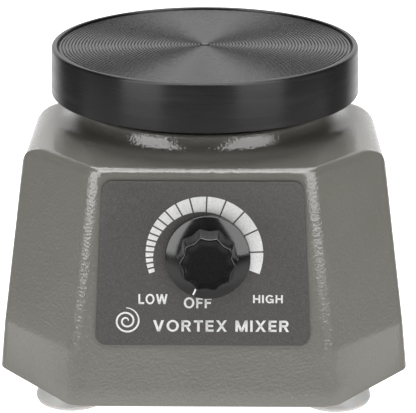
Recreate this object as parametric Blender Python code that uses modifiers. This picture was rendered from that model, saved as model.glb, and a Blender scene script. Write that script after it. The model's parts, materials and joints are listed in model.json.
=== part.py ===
"""Vortex mixer: an orbiting rubber-topped platform on a cast, eight-sided housing with a speed knob.

The motor's shaft stands on the Z axis, and the table is z = 0. The knob is on the -Y side. Sizes are in
millimetres, and every mesh is scaled to metres when it is made.
"""

import math

import bmesh
import bpy
from mathutils import Matrix, Vector

MM = 0.001
GAP = 0.3  # between pieces that touch on the real machine
TURN = 2 * math.pi

# Housing: eight facets, each at its own distance from the Z axis at three heights.
HOUSING_BOTTOM = 7.0
KINK_Z = 27.0
DECK_Z = 89.3
WALL = 4.0
FLAT_FACETS = (72.6, 70.1, 62.0)  # front, sides and rear, at the three heights
FRONT_CHAMFERS = (81.7, 80.9, 69.6)
REAR_CHAMFERS = (81.7, 80.9, 52.5)
CHAMFER_TURNS = (4.0, -2.0, 0.0)  # how far a chamfer faces more to the side than 45 degrees
SHOULDERS = (2.5, 3.5, 9.5, 8.0, 8.0, 8.0, 9.5, 3.5)  # edge radius of the deck over each facet
FRONT_CORNER_RADIUS = 4.0
REAR_CORNER_RADII = (4.0, 5.0, 10.0)

# Collar around the shaft opening
COLLAR_TOP = 96.5
COLLAR_RADIUS = 47.5
COLLAR_FOOT_RADIUS = 51.5
COLLAR_ROOF = 92.0
COLLAR_CAVITY_RADIUS = 43.0
SHAFT_OPENING_RADIUS = 24.0

# Base plate and feet
BASE_PLATE_Z = (8.3, 10.3)
FOOT_X, FOOT_Y = 46.2, 49.0
FOOT_RADIUS = 13.0
LUG_TOP = 22.0

# Front panel
PANEL_Z = 60.5
PANEL_TILT = math.atan2(FLAT_FACETS[1] - FLAT_FACETS[2], DECK_Z - KINK_Z)
PLATE_FRONT = GAP + 0.8
PLATE_TOP, PLATE_BOTTOM = 25.1, -31.4
PLATE_HALF_TOP, PLATE_HALF_BOTTOM = 33.5, 36.4
KNOB_X = 1.7
KNOB_SKIRT_RADIUS = 14.2
KNOB_GRIP_RADII = (10.4, 9.4)
KNOB_TOP = PLATE_FRONT + 12.9
KNOB_FLUTES = 10
KNOB_FLUTE_DEPTH = 0.6

# Rear cord gland
GLAND_Z = 36.0
GLAND_REACH = 11.16
GLAND_BORE = 4.2

# Motor and drive, by height
FAN_Z = (12.2, 17.8)
LOWER_BRACKET_Z = (21.0, 25.0)
STACK_Z = (30.0, 60.0)
UPPER_BRACKET_Z = (67.7, 71.7)
MOUNT_PLATE_Z = (72.0, 74.5)
HUB_Z = (76.0, 86.2)
STATOR_RADII = (33.0, 40.0)
POLE_HALF_WIDTH = 9.0
POLE_SHOE_RADII = (17.6, 21.5)
POLE_SHOE_HALF_ANGLE = math.radians(52)
ROTOR_RADIUS = 17.0
SHAFT_RADIUS = 4.0
BOLT_Y = 36.5
POST_OFFSET = 23.5
POST_BOTTOM = 78.0

# Orbiting head
THROW = 2.0  # offset of the crank journal from the shaft
BEARING_Z = (89.0, 97.0)
BALL_CIRCLE, BALL_RADIUS, BALLS = 9.0, 2.0, 8
INNER_RING = (5.15, 7.9)
OUTER_RING = (10.1, 13.0)
PLATE_Z = (107.5, 112.0)
PLATE_RADIUS = 51.2
COVER_Z = (99.0, 116.0)
COVER_RADIUS = 55.0
COVER_FLARE = 0.5
RIM_WIDTH, RIM_HEIGHT = 2.0, 0.7
GUIDE_CIRCLE = 36.0
GUIDE_ANGLES = [math.radians(a) for a in (90, 210, 330)]
GUIDE_HOLE_RADIUS = 6.4

PARTS = "vortex_mixer"
TOOLS = "vortex_mixer_cutters"


# ---------------------------------------------------------------- scene and materials


def clear_scene():
    for obj in list(bpy.data.objects):
        bpy.data.objects.remove(obj)
    for name in (PARTS, TOOLS):
        bpy.context.scene.collection.children.link(bpy.data.collections.new(name))
    bpy.data.collections[TOOLS].hide_render = True


def material(name, colour, roughness, metallic=0.0):
    found = bpy.data.materials.get(name)
    if found:
        return found
    made = bpy.data.materials.new(name)
    made.use_nodes = True
    shader = made.node_tree.nodes["Principled BSDF"]
    shader.inputs["Base Color"].default_value = (*colour, 1.0)
    shader.inputs["Roughness"].default_value = roughness
    shader.inputs["Metallic"].default_value = metallic
    return made


def paint():
    return material("hammered_grey_paint", (0.21, 0.20, 0.18), 0.3)


def black_rubber():
    return material("black_rubber", (0.012, 0.012, 0.012), 0.45)


def grey_rubber():
    return material("grey_rubber", (0.36, 0.36, 0.35), 0.5)


def steel():
    return material("steel", (0.55, 0.55, 0.56), 0.3, 1.0)


def bearing_steel():
    return material("bearing_steel", (0.66, 0.66, 0.68), 0.15, 1.0)


def zinc_plate():
    return material("zinc_plated_sheet", (0.5, 0.5, 0.48), 0.4, 1.0)


def aluminium():
    return material("cast_aluminium", (0.6, 0.61, 0.62), 0.45, 1.0)


def laminations():
    return material("laminated_iron", (0.2, 0.2, 0.21), 0.5, 0.9)


def copper():
    return material("enamelled_copper", (0.5, 0.16, 0.05), 0.35, 0.9)


def bronze():
    return material("sintered_bronze", (0.5, 0.31, 0.13), 0.5, 1.0)


def black_plastic():
    return material("black_plastic", (0.014, 0.014, 0.015), 0.25)


def panel_print():
    return material("panel_print", (0.1, 0.095, 0.092), 0.4)


def circuit_board():
    return material("circuit_board", (0.02, 0.12, 0.05), 0.5)


def film_capacitor():
    return material("film_capacitor", (0.45, 0.06, 0.03), 0.35)


def lead_sleeve():
    return material("lead_sleeve", (0.5, 0.04, 0.03), 0.5)


# ---------------------------------------------------------------- solids


def add_object(name, mesh, finish, parent=None, at=(0, 0, 0), turn=(0, 0, 0), tool=False):
    """Place a mesh as a sub-part, or as a hidden cutter, at a point in millimetres and a rotation."""
    obj = bpy.data.objects.new(name, mesh)
    bpy.data.collections[TOOLS if tool else PARTS].objects.link(obj)
    obj.location = Vector(at) * MM
    obj.rotation_euler = turn
    obj.parent = parent
    if tool:
        obj.hide_render = True
        obj.display_type = "WIRE"
    elif finish:
        mesh.materials.append(finish)
    return obj


def empty(name, at, turn=(0, 0, 0), parent=None):
    obj = bpy.data.objects.new(name, None)
    bpy.data.collections[PARTS].objects.link(obj)
    obj.location = Vector(at) * MM
    obj.rotation_euler = turn
    obj.parent = parent
    return obj


def finish_mesh(name, shape, smooth=True):
    mesh = bpy.data.meshes.new(name)
    bmesh.ops.scale(shape, vec=(MM, MM, MM), verts=shape.verts)
    shape.to_mesh(mesh)
    shape.free()
    if smooth:
        mesh.shade_smooth()
        mesh.set_sharp_from_angle(angle=math.radians(35))
    return mesh


def box(name, low, high, finish=None, **place):
    """A box between two corners."""
    low, high = Vector(low), Vector(high)
    shape = bmesh.new()
    bmesh.ops.create_cube(shape, size=1.0)
    bmesh.ops.transform(
        shape,
        matrix=Matrix.LocRotScale((low + high) / 2, None, high - low),
        verts=shape.verts,
    )
    return add_object(name, finish_mesh(name, shape, False), finish, **place)


def cylinder(name, radius, z0, z1, finish=None, sides=16, centre=(0, 0), **place):
    """An upright cylinder, or a hexagonal prism with sides=6."""
    shape = bmesh.new()
    bmesh.ops.create_cone(
        shape, cap_ends=True, segments=sides, radius1=radius, radius2=radius, depth=z1 - z0
    )
    bmesh.ops.translate(shape, vec=(*centre, (z0 + z1) / 2), verts=shape.verts)
    return add_object(name, finish_mesh(name, shape), finish, **place)


def turned(name, profile, finish=None, steps=16, loop=True, **place):
    """A profile of (radius, z) points turned about Z, which runs down its outer side."""
    shape = bmesh.new()
    points = [shape.verts.new((r, 0, z)) for r, z in profile]
    for first, second in zip(points, points[1:] + points[:1] * loop):
        shape.edges.new((first, second))
    obj = add_object(name, finish_mesh(name, shape, False), finish, **place)
    screw = obj.modifiers.new("turn", "SCREW")
    screw.axis = "Z"
    screw.steps = screw.render_steps = steps
    screw.use_merge_vertices = True
    screw.merge_threshold = 0.00001
    screw.use_smooth_shade = True
    return obj


def arc(centre, radius, start, end, steps):
    """Points on an arc, with its angles in degrees."""
    angles = [math.radians(start + (end - start) * i / steps) for i in range(steps + 1)]
    return [(centre[0] + radius * math.cos(a), centre[1] + radius * math.sin(a)) for a in angles]


def circle(centre, radius, steps=16):
    return arc(centre, radius, 0, 360, steps)[:-1]


def rounded_outline(corners, radius, steps=3):
    """A convex outline, given anticlockwise, with each corner rounded to the radius."""
    points = []
    for i, corner in enumerate(corners):
        here = Vector(corner)
        back = (Vector(corners[i - 1]) - here).normalized()
        ahead = (Vector(corners[(i + 1) % len(corners)]) - here).normalized()
        middle = (back + ahead).normalized()
        half = math.acos(max(-1.0, min(1.0, back.dot(ahead)))) / 2
        centre = here + middle * (radius / math.sin(half))
        first = math.degrees(math.atan2(back.x, -back.y))
        sweep = 180 - math.degrees(2 * half)
        points += arc(centre, radius, first, first + sweep, steps)
    return points


def plate(name, outlines, z0, z1, finish=None, tool=False, **place):
    """A flat outline with holes, filled and extruded from z0 to z1."""
    curve = bpy.data.curves.new(name, "CURVE")
    curve.dimensions = "2D"
    curve.fill_mode = "BOTH"
    curve.extrude = (z1 - z0) / 2 * MM
    for outline in outlines:
        spline = curve.splines.new("POLY")
        spline.points.add(len(outline) - 1)
        spline.use_cyclic_u = True
        for point, (x, y) in zip(spline.points, outline):
            point.co = (x * MM, y * MM, 0, 1)
    guide = add_object(name + "_outline", curve, None, at=(0, 0, (z0 + z1) / 2), tool=True)
    mesh = mesh_of(guide)
    bpy.data.objects.remove(guide)
    obj = add_object(name, mesh, finish, tool=tool, **place)
    return obj


def mesh_of(curve_object):
    """The welded mesh of a curve object, with the object's own place in its points."""
    bpy.context.view_layer.update()
    graph = bpy.context.evaluated_depsgraph_get()
    mesh = bpy.data.meshes.new_from_object(curve_object.evaluated_get(graph))
    shape = bmesh.new()
    shape.from_mesh(mesh)
    bmesh.ops.remove_doubles(shape, verts=shape.verts, dist=0.000001)
    bmesh.ops.recalc_face_normals(shape, faces=shape.faces)
    bmesh.ops.transform(shape, matrix=curve_object.matrix_world, verts=shape.verts)
    shape.to_mesh(mesh)
    shape.free()
    mesh.shade_smooth()
    mesh.set_sharp_from_angle(angle=math.radians(35))
    return mesh


def tube(name, route, radius, finish):
    """A round lead through the points of a route, with each corner cut off once to soften it."""
    spans = list(zip(route, route[1:]))
    nearer = [Vector(a).lerp(Vector(b), t) for a, b in spans for t in (0.25, 0.75)]
    route = [Vector(route[0]), *nearer, Vector(route[-1])]
    curve = bpy.data.curves.new(name, "CURVE")
    curve.dimensions = "3D"
    curve.bevel_depth = radius * MM
    curve.bevel_resolution = 2
    curve.use_fill_caps = True
    spline = curve.splines.new("POLY")
    spline.points.add(len(route) - 1)
    for point, place in zip(spline.points, route):
        point.co = (*(place * MM), 1)
    return add_object(name, curve, finish)


def loft(name, rings, finish=None, **place):
    """A closed solid through rings of equally many points, from the lowest ring to the highest."""
    shape = bmesh.new()
    rows = [[shape.verts.new(point) for point in ring] for ring in rings]
    for low, high in zip(rows, rows[1:]):
        for i in range(len(low)):
            j = (i + 1) % len(low)
            shape.faces.new((low[i], low[j], high[j], high[i]))
    shape.faces.new(list(reversed(rows[0])))
    shape.faces.new(rows[-1])
    return add_object(name, finish_mesh(name, shape), finish, **place)


def combine(target, operation, others):
    """A Boolean of the target with a collection of tools."""
    group = bpy.data.collections.new(f"{target.name}_{operation.lower()}_{len(target.modifiers)}")
    for other in others:
        group.objects.link(other)
    bpy.data.collections[TOOLS].children.link(group)
    boolean = target.modifiers.new(operation.lower(), "BOOLEAN")
    boolean.operation = operation
    boolean.operand_type = "COLLECTION"
    boolean.collection = group
    boolean.solver = "EXACT"
    return target


def join(target, *others):
    return combine(target, "UNION", others)


def cut(target, *others):
    return combine(target, "DIFFERENCE", others)


# ---------------------------------------------------------------- housing


def at_height(distances, z):
    """A facet's distance from the axis at a height, on straight lines between the three given."""
    bottom, kink, deck = distances
    if z < KINK_Z:
        return bottom + (kink - bottom) * (z - HOUSING_BOTTOM) / (KINK_Z - HOUSING_BOTTOM)
    return kink + (deck - kink) * (z - KINK_Z) / (DECK_Z - KINK_Z)


FACETS = (
    FLAT_FACETS,
    FRONT_CHAMFERS,
    FLAT_FACETS,
    REAR_CHAMFERS,
    FLAT_FACETS,
    REAR_CHAMFERS,
    FLAT_FACETS,
    FRONT_CHAMFERS,
)


def facing(k, z):
    """The direction of facet k in degrees: the front one is -90, and they go round anticlockwise."""
    turn = at_height(CHAMFER_TURNS, z)
    return -90 + 45 * k + {1: turn, 3: -turn, 5: turn, 7: -turn}.get(k, 0)


def facet_ring(distances, heights, radii, steps=3):
    """Eight facets at their distances and heights, with each corner between two of them rounded."""
    points = []
    for k in range(8):
        after = (k + 1) % 8
        first, last = facing(k, heights[k]), facing(after, heights[after])
        last += 360 * (after == 0)
        start, end = math.radians(first), math.radians(last)
        sides = Matrix(((math.cos(start), math.sin(start)), (math.cos(end), math.sin(end))))
        corner = sides.inverted() @ Vector((distances[k] - radii[k], distances[after] - radii[k]))
        z0, z1 = heights[k], heights[after]
        for i, (x, y) in enumerate(arc(corner, radii[k], first, last, steps)):
            points.append((x, y, z0 + (z1 - z0) * i / steps))
    return points


def corner_radii(z, inset=0.0):
    """The radius of each upright corner at a height: the four at the rear are softer at the deck."""
    front, rear = FRONT_CORNER_RADIUS, at_height(REAR_CORNER_RADII, z)
    return [max(r - inset, 1.0) for r in (front, front, rear, rear, rear, rear, front, front)]


def housing_outside():
    rings = []
    for z in (HOUSING_BOTTOM, KINK_Z):
        rings.append(facet_ring([at_height(f, z) for f in FACETS], [z] * 8, corner_radii(z)))
    lean = PANEL_TILT
    for i in range(4):
        rise = lean + (math.pi / 2 - lean) * i / 3
        distances, heights = [], []
        for facet, r in zip(FACETS, SHOULDERS):
            start = DECK_Z - r + r * math.sin(lean)
            distances.append(at_height(facet, start) - r * (math.cos(lean) - math.cos(rise)))
            heights.append(DECK_Z - r + r * math.sin(rise))
        rings.append(facet_ring(distances, heights, corner_radii(DECK_Z, 1.2 * i)))
    return loft("housing", rings, paint())


def housing():
    shell = housing_outside()
    collar = turned(
        "collar_tool",
        [(20, COLLAR_TOP), *arc((COLLAR_RADIUS - 2, COLLAR_TOP - 2), 2, 90, 0, 3)]
        + arc((COLLAR_FOOT_RADIUS, DECK_Z + 3.9), 4.2, 180, 262, 3)
        + [(COLLAR_FOOT_RADIUS, DECK_Z - 3), (20, DECK_Z - 3)],
        steps=40,
        tool=True,
    )
    join(shell, collar)
    inner = []
    for z, inset in ((HOUSING_BOTTOM - 1, 0), (KINK_Z, 0), (DECK_Z - 11, 0), (DECK_Z - WALL, 5)):
        distances = [at_height(f, z) - WALL - inset for f in FACETS]
        inner.append(facet_ring(distances, [z] * 8, [2.0] * 8, 1))
    cavity = loft("cavity_tool", inner, tool=True)
    roof, top = COLLAR_ROOF, COLLAR_TOP + 1
    dome = cylinder("dome_tool", COLLAR_CAVITY_RADIUS, DECK_Z - WALL - 2, roof, sides=24, tool=True)
    bore = cylinder("bore_tool", SHAFT_OPENING_RADIUS, roof - 2, top, sides=24, tool=True)
    cut(shell, cavity)
    cut(shell, dome)
    cut(shell, bore)
    posts = [
        cylinder(f"post_tool_{i}", 5, POST_BOTTOM, roof + 1, sides=10, centre=centre, tool=True)
        for i, centre in enumerate(corner_points(POST_OFFSET, POST_OFFSET))
    ]
    lugs = [
        box(
            f"lug_tool_{i}",
            (-6, -7, BASE_PLATE_Z[1] + GAP),
            (12, 7, LUG_TOP),
            at=(*centre, 0),
            turn=(0, 0, math.atan2(centre[1], centre[0])),
            tool=True,
        )
        for i, centre in enumerate(corner_points(FOOT_X, FOOT_Y))
    ]
    join(shell, *posts, *lugs)
    holes = [
        cylinder(f"post_hole_tool_{i}", 1.9, POST_BOTTOM - 1, 90, sides=8, centre=centre, tool=True)
        for i, centre in enumerate(corner_points(POST_OFFSET, POST_OFFSET))
    ]
    holes += [
        cylinder(f"lug_hole_tool_{i}", 1.9, 7, LUG_TOP - 2, sides=8, centre=centre, tool=True)
        for i, centre in enumerate(corner_points(FOOT_X, FOOT_Y))
    ]
    holes += [
        cylinder(f"guide_hole_tool_{i}", 2.8, roof - 1, top, sides=10, centre=centre, tool=True)
        for i, centre in enumerate(guide_points())
    ]
    rear = bpy.data.objects["rear_face"]
    pot = bpy.data.objects["knob_axis"]
    holes.append(cylinder("pot_hole_tool", 5.1, -8, 2, parent=pot, tool=True))
    holes.append(cylinder("gland_hole_tool", 6.4, -8, 2, parent=rear, tool=True))
    cut(shell, *holes)


def corner_points(x, y):
    return [(x, -y), (x, y), (-x, y), (-x, -y)]


def guide_points():
    return [(GUIDE_CIRCLE * math.cos(a), GUIDE_CIRCLE * math.sin(a)) for a in GUIDE_ANGLES]


# ---------------------------------------------------------------- base


CORNERS = ("front_right", "rear_right", "rear_left", "front_left")


def base_plate():
    z = BASE_PLATE_Z[0]
    edge = [at_height(f, z) - WALL - 0.6 for f in FACETS]
    outline = [(x, y) for x, y, _ in facet_ring(edge, [z] * 8, [2.0] * 8, 2)]
    holes = [circle(c, 2.2, 12) for c in corner_points(FOOT_X, FOOT_Y)]
    for x in (-18, -9, 0, 9, 18):
        holes.append(arc((x, 10), 1.5, 0, 180, 4) + arc((x, -14), 1.5, 180, 360, 4))
    sheet = plate("base_plate", [outline, *holes], *BASE_PLATE_Z, zinc_plate())
    pillars = []
    low = BASE_PLATE_Z[1] - 0.6
    for x in (-27, 27):
        pillars.append(
            turned(
                f"pillar_tool_{x}",
                [(0, 17), (1.3, 17), (1.3, 13.7), (3, 13.7), (3, low), (0, low)],
                steps=12,
                loop=False,
                at=(x, -54, 0),
                tool=True,
            )
        )
    join(sheet, *pillars)


def feet():
    for name, (x, y) in zip(CORNERS, corner_points(FOOT_X, FOOT_Y)):
        r = FOOT_RADIUS
        turned(
            f"foot_{name}",
            [(2.1, 8), (8.5, 8), (8.5, 6.6), (r - 1.2, 6.6), (r - 0.6, 6.0), (r, 1.2), (r - 0.3, 0.4)]
            + [(r - 1, 0), (5.0, 0), (5.0, 5.0), (2.1, 5.0)],
            grey_rubber(),
            steps=20,
            at=(x, y, 0),
        )
        screw = turned(
            f"foot_screw_{name}",
            [(0, 18), (1.2, 18), (1.6, 17.4), (1.6, 4.7), (4.0, 4.7), (4.0, 3.6), (3.0, 2.6), (0, 2.6)],
            steel(),
            steps=10,
            loop=False,
            at=(x, y, 0),
        )
        slot = box(f"foot_slot_{name}", (-5, -0.5, 2.0), (5, 0.5, 3.5), at=(x, y, 0), tool=True)
        cut(screw, slot)


# ---------------------------------------------------------------- front panel and gland


def panel_frames():
    """Empties on the front and rear faces: local Z points outwards and local Y up the face."""
    out = at_height(FLAT_FACETS, PANEL_Z)
    panel = empty("panel", (0, -out, PANEL_Z), (math.pi / 2 - PANEL_TILT, 0, 0))
    empty("knob_axis", (KNOB_X, 0, 0), parent=panel)
    back = at_height(FLAT_FACETS, GLAND_Z)
    empty("rear_face", (0, back, GLAND_Z), (math.pi / 2 - PANEL_TILT, 0, math.pi))


def faceplate():
    corners = [
        (-PLATE_HALF_BOTTOM, PLATE_BOTTOM),
        (PLATE_HALF_BOTTOM, PLATE_BOTTOM),
        (PLATE_HALF_TOP, PLATE_TOP),
        (-PLATE_HALF_TOP, PLATE_TOP),
    ]
    plate(
        "faceplate",
        [rounded_outline(corners, 2.6, 4), circle((KNOB_X, 0), 5.4)],
        GAP,
        PLATE_FRONT,
        panel_print(),
        parent=bpy.data.objects["panel"],
    )


def speed_control():
    axis = bpy.data.objects["knob_axis"]
    body = turned(
        "pot_body",
        [(3.3, 6), (4.7, 6), (4.7, -4.5), (11.5, -4.5), (12, -5), (12, -16.5), (0, -16.5)]
        + [(0, -8), (3.3, -8)],
        steel(),
        loop=True,
        parent=axis,
    )
    tabs = [
        box(f"pot_tab_tool_{x}", (x - 1.2, -16.5, -10.5), (x + 1.2, -11, -9.7), parent=axis, tool=True)
        for x in (-5, 0, 5)
    ]
    join(body, *tabs)
    turned(
        "pot_shaft",
        [(0, 12.5), (2.6, 12.5), (3, 12.1), (3, -7.6), (0, -7.6)],
        steel(),
        loop=False,
        parent=axis,
    )
    low = PLATE_FRONT + GAP
    nut = cylinder("pot_nut", 6.8, low, low + 2.2, zinc_plate(), sides=6, parent=axis)
    cut(nut, cylinder("pot_nut_hole_tool", 5.0, 0, 6, sides=16, parent=axis, tool=True))


def knob():
    axis = bpy.data.objects["knob_axis"]
    base = PLATE_FRONT + 0.5
    r = KNOB_SKIRT_RADIUS
    body = turned(
        "knob",
        [(0, 9), (9, 9), (9, 6.9), (11.6, 6.5), (13.4, 5.6), (r, 4.4), (r, base + 0.4)]
        + [(r - 0.4, base), (0, base)],
        black_plastic(),
        steps=32,
        loop=False,
        parent=axis,
    )
    rings = []
    count = KNOB_FLUTES * 4
    for z, radius in ((6, KNOB_GRIP_RADII[0]), (KNOB_TOP - 0.6, KNOB_GRIP_RADII[1]), (KNOB_TOP, 8.9)):
        ring = []
        for a in (TURN * i / count for i in range(count)):
            reach = radius - KNOB_FLUTE_DEPTH * (1 - math.cos(KNOB_FLUTES * a)) / 2
            ring.append((reach * math.cos(a), reach * math.sin(a), z))
        rings.append(ring)
    join(body, loft("grip_tool", rings, parent=axis, tool=True))
    cut(
        body,
        turned(
            "knob_bore_tool",
            [(0, 12.9), (3.3, 12.9), (3.3, 6.3), (8.4, 6.3), (8.4, base - 1), (0, base - 1)],
            loop=False,
            parent=axis,
            tool=True,
        ),
    )


def cord_gland():
    rear = bpy.data.objects["rear_face"]
    z = GLAND_REACH
    turned(
        "cord_gland",
        [(GLAND_BORE, z), (5.6, z), (6.2, z - 0.6), (6.6, 5.2), (7.4, 4.4), (7.4, 3), (9, 2.6), (9, GAP)]
        + [(6.0, GAP), (6.0, -9), (GLAND_BORE, -9)],
        black_plastic(),
        parent=rear,
    )
    nut = cylinder("gland_nut", 9.6, -7.6, -WALL - GAP, black_plastic(), sides=6, parent=rear)
    cut(nut, cylinder("gland_nut_hole_tool", 6.3, -9, -3, parent=rear, tool=True))


# ---------------------------------------------------------------- motor


def mount_plate():
    outline = [(22, -42), (32, -32), (32, 32), (22, 42)]
    outline += [(-x, -y) for x, y in outline]
    holes = [circle((0, 0), 14), circle((0, BOLT_Y), 2.3, 10), circle((0, -BOLT_Y), 2.3, 10)]
    holes += [circle(c, 5.0, 12) for c in corner_points(POST_OFFSET, POST_OFFSET)]
    plate("motor_mount_plate", [outline, *holes], *MOUNT_PLATE_Z, zinc_plate())
    low, high = MOUNT_PLATE_Z
    for name, (x, y) in zip(CORNERS, corner_points(POST_OFFSET, POST_OFFSET)):
        turned(
            f"grommet_{name}",
            [(2.0, high + 3), (6.2, high + 3), (6.8, high + 2.4), (6.8, high + GAP), (4.6, high + GAP)]
            + [(4.6, low - GAP), (6.8, low - GAP), (6.8, low - 1.6), (6.2, low - 2.1), (2.0, low - 2.1)],
            black_rubber(),
            steps=12,
            at=(x, y, 0),
        )
        screw = turned(
            f"mount_screw_{name}",
            [(0, 87), (1.2, 87), (1.6, 86.4), (1.6, low - 2.4), (4, low - 2.4), (4, low - 3.4)]
            + [(3.2, low - 4.6), (0, low - 4.6)],
            steel(),
            steps=8,
            loop=False,
            at=(x, y, 0),
        )
        slot = box(
            f"mount_slot_{name}", (-5, -0.5, low - 5.2), (5, 0.5, low - 3.7), at=(x, y, 0), tool=True
        )
        cut(screw, slot)


def stator():
    inner_r, outer_r = STATOR_RADII
    shoe_in, shoe_out = POLE_SHOE_RADII
    half = math.degrees(POLE_SHOE_HALF_ANGLE)
    at_shoe = math.degrees(math.asin(POLE_HALF_WIDTH / shoe_out))
    at_ring = math.degrees(math.asin(POLE_HALF_WIDTH / inner_r))
    window = []
    for side in (0, 180):
        window += arc((0, 0), shoe_out, side - at_shoe, side - half, 2)
        window += arc((0, 0), shoe_in, side - half, side + half, 12)
        window += arc((0, 0), shoe_out, side + half, side + at_shoe, 2)
        window += arc((0, 0), inner_r, side + at_ring, side + 180 - at_ring, 12)
    holes = [circle((0, BOLT_Y), 2.4, 12), circle((0, -BOLT_Y), 2.4, 12)]
    plate("stator_core", [circle((0, 0), outer_r, 36), window, *holes], *STACK_Z, laminations())


def field_coils():
    middle = sum(STACK_Z) / 2
    height = (STACK_Z[1] - STACK_Z[0]) / 2
    w, h = 15.5, height + 7.7
    outside = rounded_outline([(-w, -h), (w, -h), (w, h), (-w, h)], 4.0, 4)
    w, h = POLE_HALF_WIDTH + 0.4, height + 0.4
    inside = [(-w, -h), (w, -h), (w, h), (-w, h)]
    for name, side in (("field_coil_right", 1), ("field_coil_left", -1)):
        plate(
            name,
            [outside, inside],
            21.9,
            28.2,
            copper(),
            at=(0, 0, middle),
            turn=(math.pi / 2, 0, side * math.pi / 2),
        )


def end_brackets():
    tall = (LOWER_BRACKET_Z[0] - 2.5, LOWER_BRACKET_Z[1])
    bore = SHAFT_RADIUS + 0.2
    upper_hub = (UPPER_BRACKET_Z[0] - 2.7, UPPER_BRACKET_Z[1])
    legs = {
        "lower": (LOWER_BRACKET_Z, tall, (LOWER_BRACKET_Z[1] - 1, STACK_Z[0] - GAP)),
        "upper": (UPPER_BRACKET_Z, upper_hub, (STACK_Z[1] + GAP, UPPER_BRACKET_Z[0] + 1)),
    }
    for name, (bar, hub, leg) in legs.items():
        outline = [(-7, -41), (7, -41), (9, -8), (9, 8), (7, 41), (-7, 41), (-9, 8), (-9, -8)]
        bracket = plate(f"{name}_end_bracket", [outline], *bar, aluminium())
        solids = [cylinder(f"{name}_hub_tool", 9.6, *hub, tool=True)]
        solids += [
            box(f"{name}_leg_tool_{i}", (-6, min(y), leg[0]), (6, max(y), leg[1]), tool=True)
            for i, y in enumerate(((33.6, 40.0), (-40.0, -33.6)))
        ]
        join(bracket, *solids)
        low, high = min(bar[0], hub[0], leg[0]) - 1, max(bar[1], hub[1], leg[1]) + 1
        holes = [cylinder(f"{name}_bore_tool", 6.8, low, high, tool=True)]
        holes += [
            cylinder(f"{name}_bolt_tool_{i}", 2.4, low, high, sides=12, centre=(0, y), tool=True)
            for i, y in enumerate((BOLT_Y, -BOLT_Y))
        ]
        cut(bracket, *holes)
        turned(
            f"{name}_bush",
            [(bore, hub[1]), (6.5, hub[1]), (6.5, hub[0]), (bore, hub[0])],
            bronze(),
        )
    head = LOWER_BRACKET_Z[0] - GAP
    for name, y in (("through_bolt_rear", BOLT_Y), ("through_bolt_front", -BOLT_Y)):
        turned(
            name,
            [(0, 77), (1.5, 77), (2, 76.5), (2, head), (3.8, head), (3.8, head - 2.6), (0, head - 2.6)],
            steel(),
            steps=12,
            loop=False,
            at=(0, y, 0),
        )


def rotor():
    axis = bpy.data.objects["rotor_axis"]
    r = SHAFT_RADIUS
    turned(
        "motor_shaft",
        [(0, 84.7), (r - 0.5, 84.7), (r, 84.2), (r, 12), (r - 0.5, 11.5), (0, 11.5)],
        steel(),
        loop=False,
        parent=axis,
    )
    low, high = STACK_Z
    bore, r = SHAFT_RADIUS + GAP, ROTOR_RADIUS
    turned(
        "rotor_core",
        [(bore, high + 1), (8, high + 1), (8, high + 4), (16, high + 4), (16, high), (r, high)]
        + [(r, low), (16, low), (16, low - 4), (8, low - 4), (8, low - 1), (bore, low - 1)],
        laminations(),
        steps=24,
        parent=axis,
    )
    low, high = FAN_Z
    fan = turned(
        "cooling_fan",
        [(bore, high), (8, high), (8, low + 1.2), (30, low + 1.2), (30, low), (bore, low)],
        black_plastic(),
        steps=24,
        parent=axis,
    )
    blades = [
        box(
            f"blade_tool_{i}",
            (7.5, -0.6, low + 0.6),
            (29, 0.6, high - 0.5),
            turn=(0, 0, TURN * i / 8),
            parent=axis,
            tool=True,
        )
        for i in range(8)
    ]
    join(fan, *blades)


def eccentric():
    axis = bpy.data.objects["rotor_axis"]
    low, high = HUB_Z
    hub = cylinder("eccentric_hub", 11, low, high, steel(), parent=axis)
    shoulder = BEARING_Z[0] - GAP
    journal = INNER_RING[0] - GAP
    crank = turned(
        "crank_tool",
        [(0, 96.6), (journal - 0.4, 96.6), (journal, 96.2), (journal, shoulder), (7.6, shoulder)]
        + [(7.6, high - 1), (0, high - 1)],
        loop=False,
        at=(0, THROW, 0),
        parent=axis,
        tool=True,
    )
    half_disc = arc((0, 0), 22, 190, 350, 12)
    weight = plate("weight_tool", [half_disc], 79, 84.5, parent=axis, tool=True)
    join(hub, crank)
    join(hub, weight)
    cut(
        hub,
        cylinder("shaft_bore_tool", SHAFT_RADIUS + 0.25, low - 1, 85, parent=axis, tool=True),
        cylinder("crank_hole_tool", 2.5, 87.7, 98, sides=12, at=(0, THROW, 0), parent=axis, tool=True),
    )
    sideways = {"at": (0, 0, 78), "turn": (0, math.pi / 2, 0), "parent": axis}
    cut(hub, cylinder("set_hole_tool", 2.3, 2, 13, sides=12, tool=True, **sideways))
    cylinder("eccentric_set_screw", 2.0, 4.5, 10.6, steel(), sides=12, **sideways)


# ---------------------------------------------------------------- orbiting head


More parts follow.
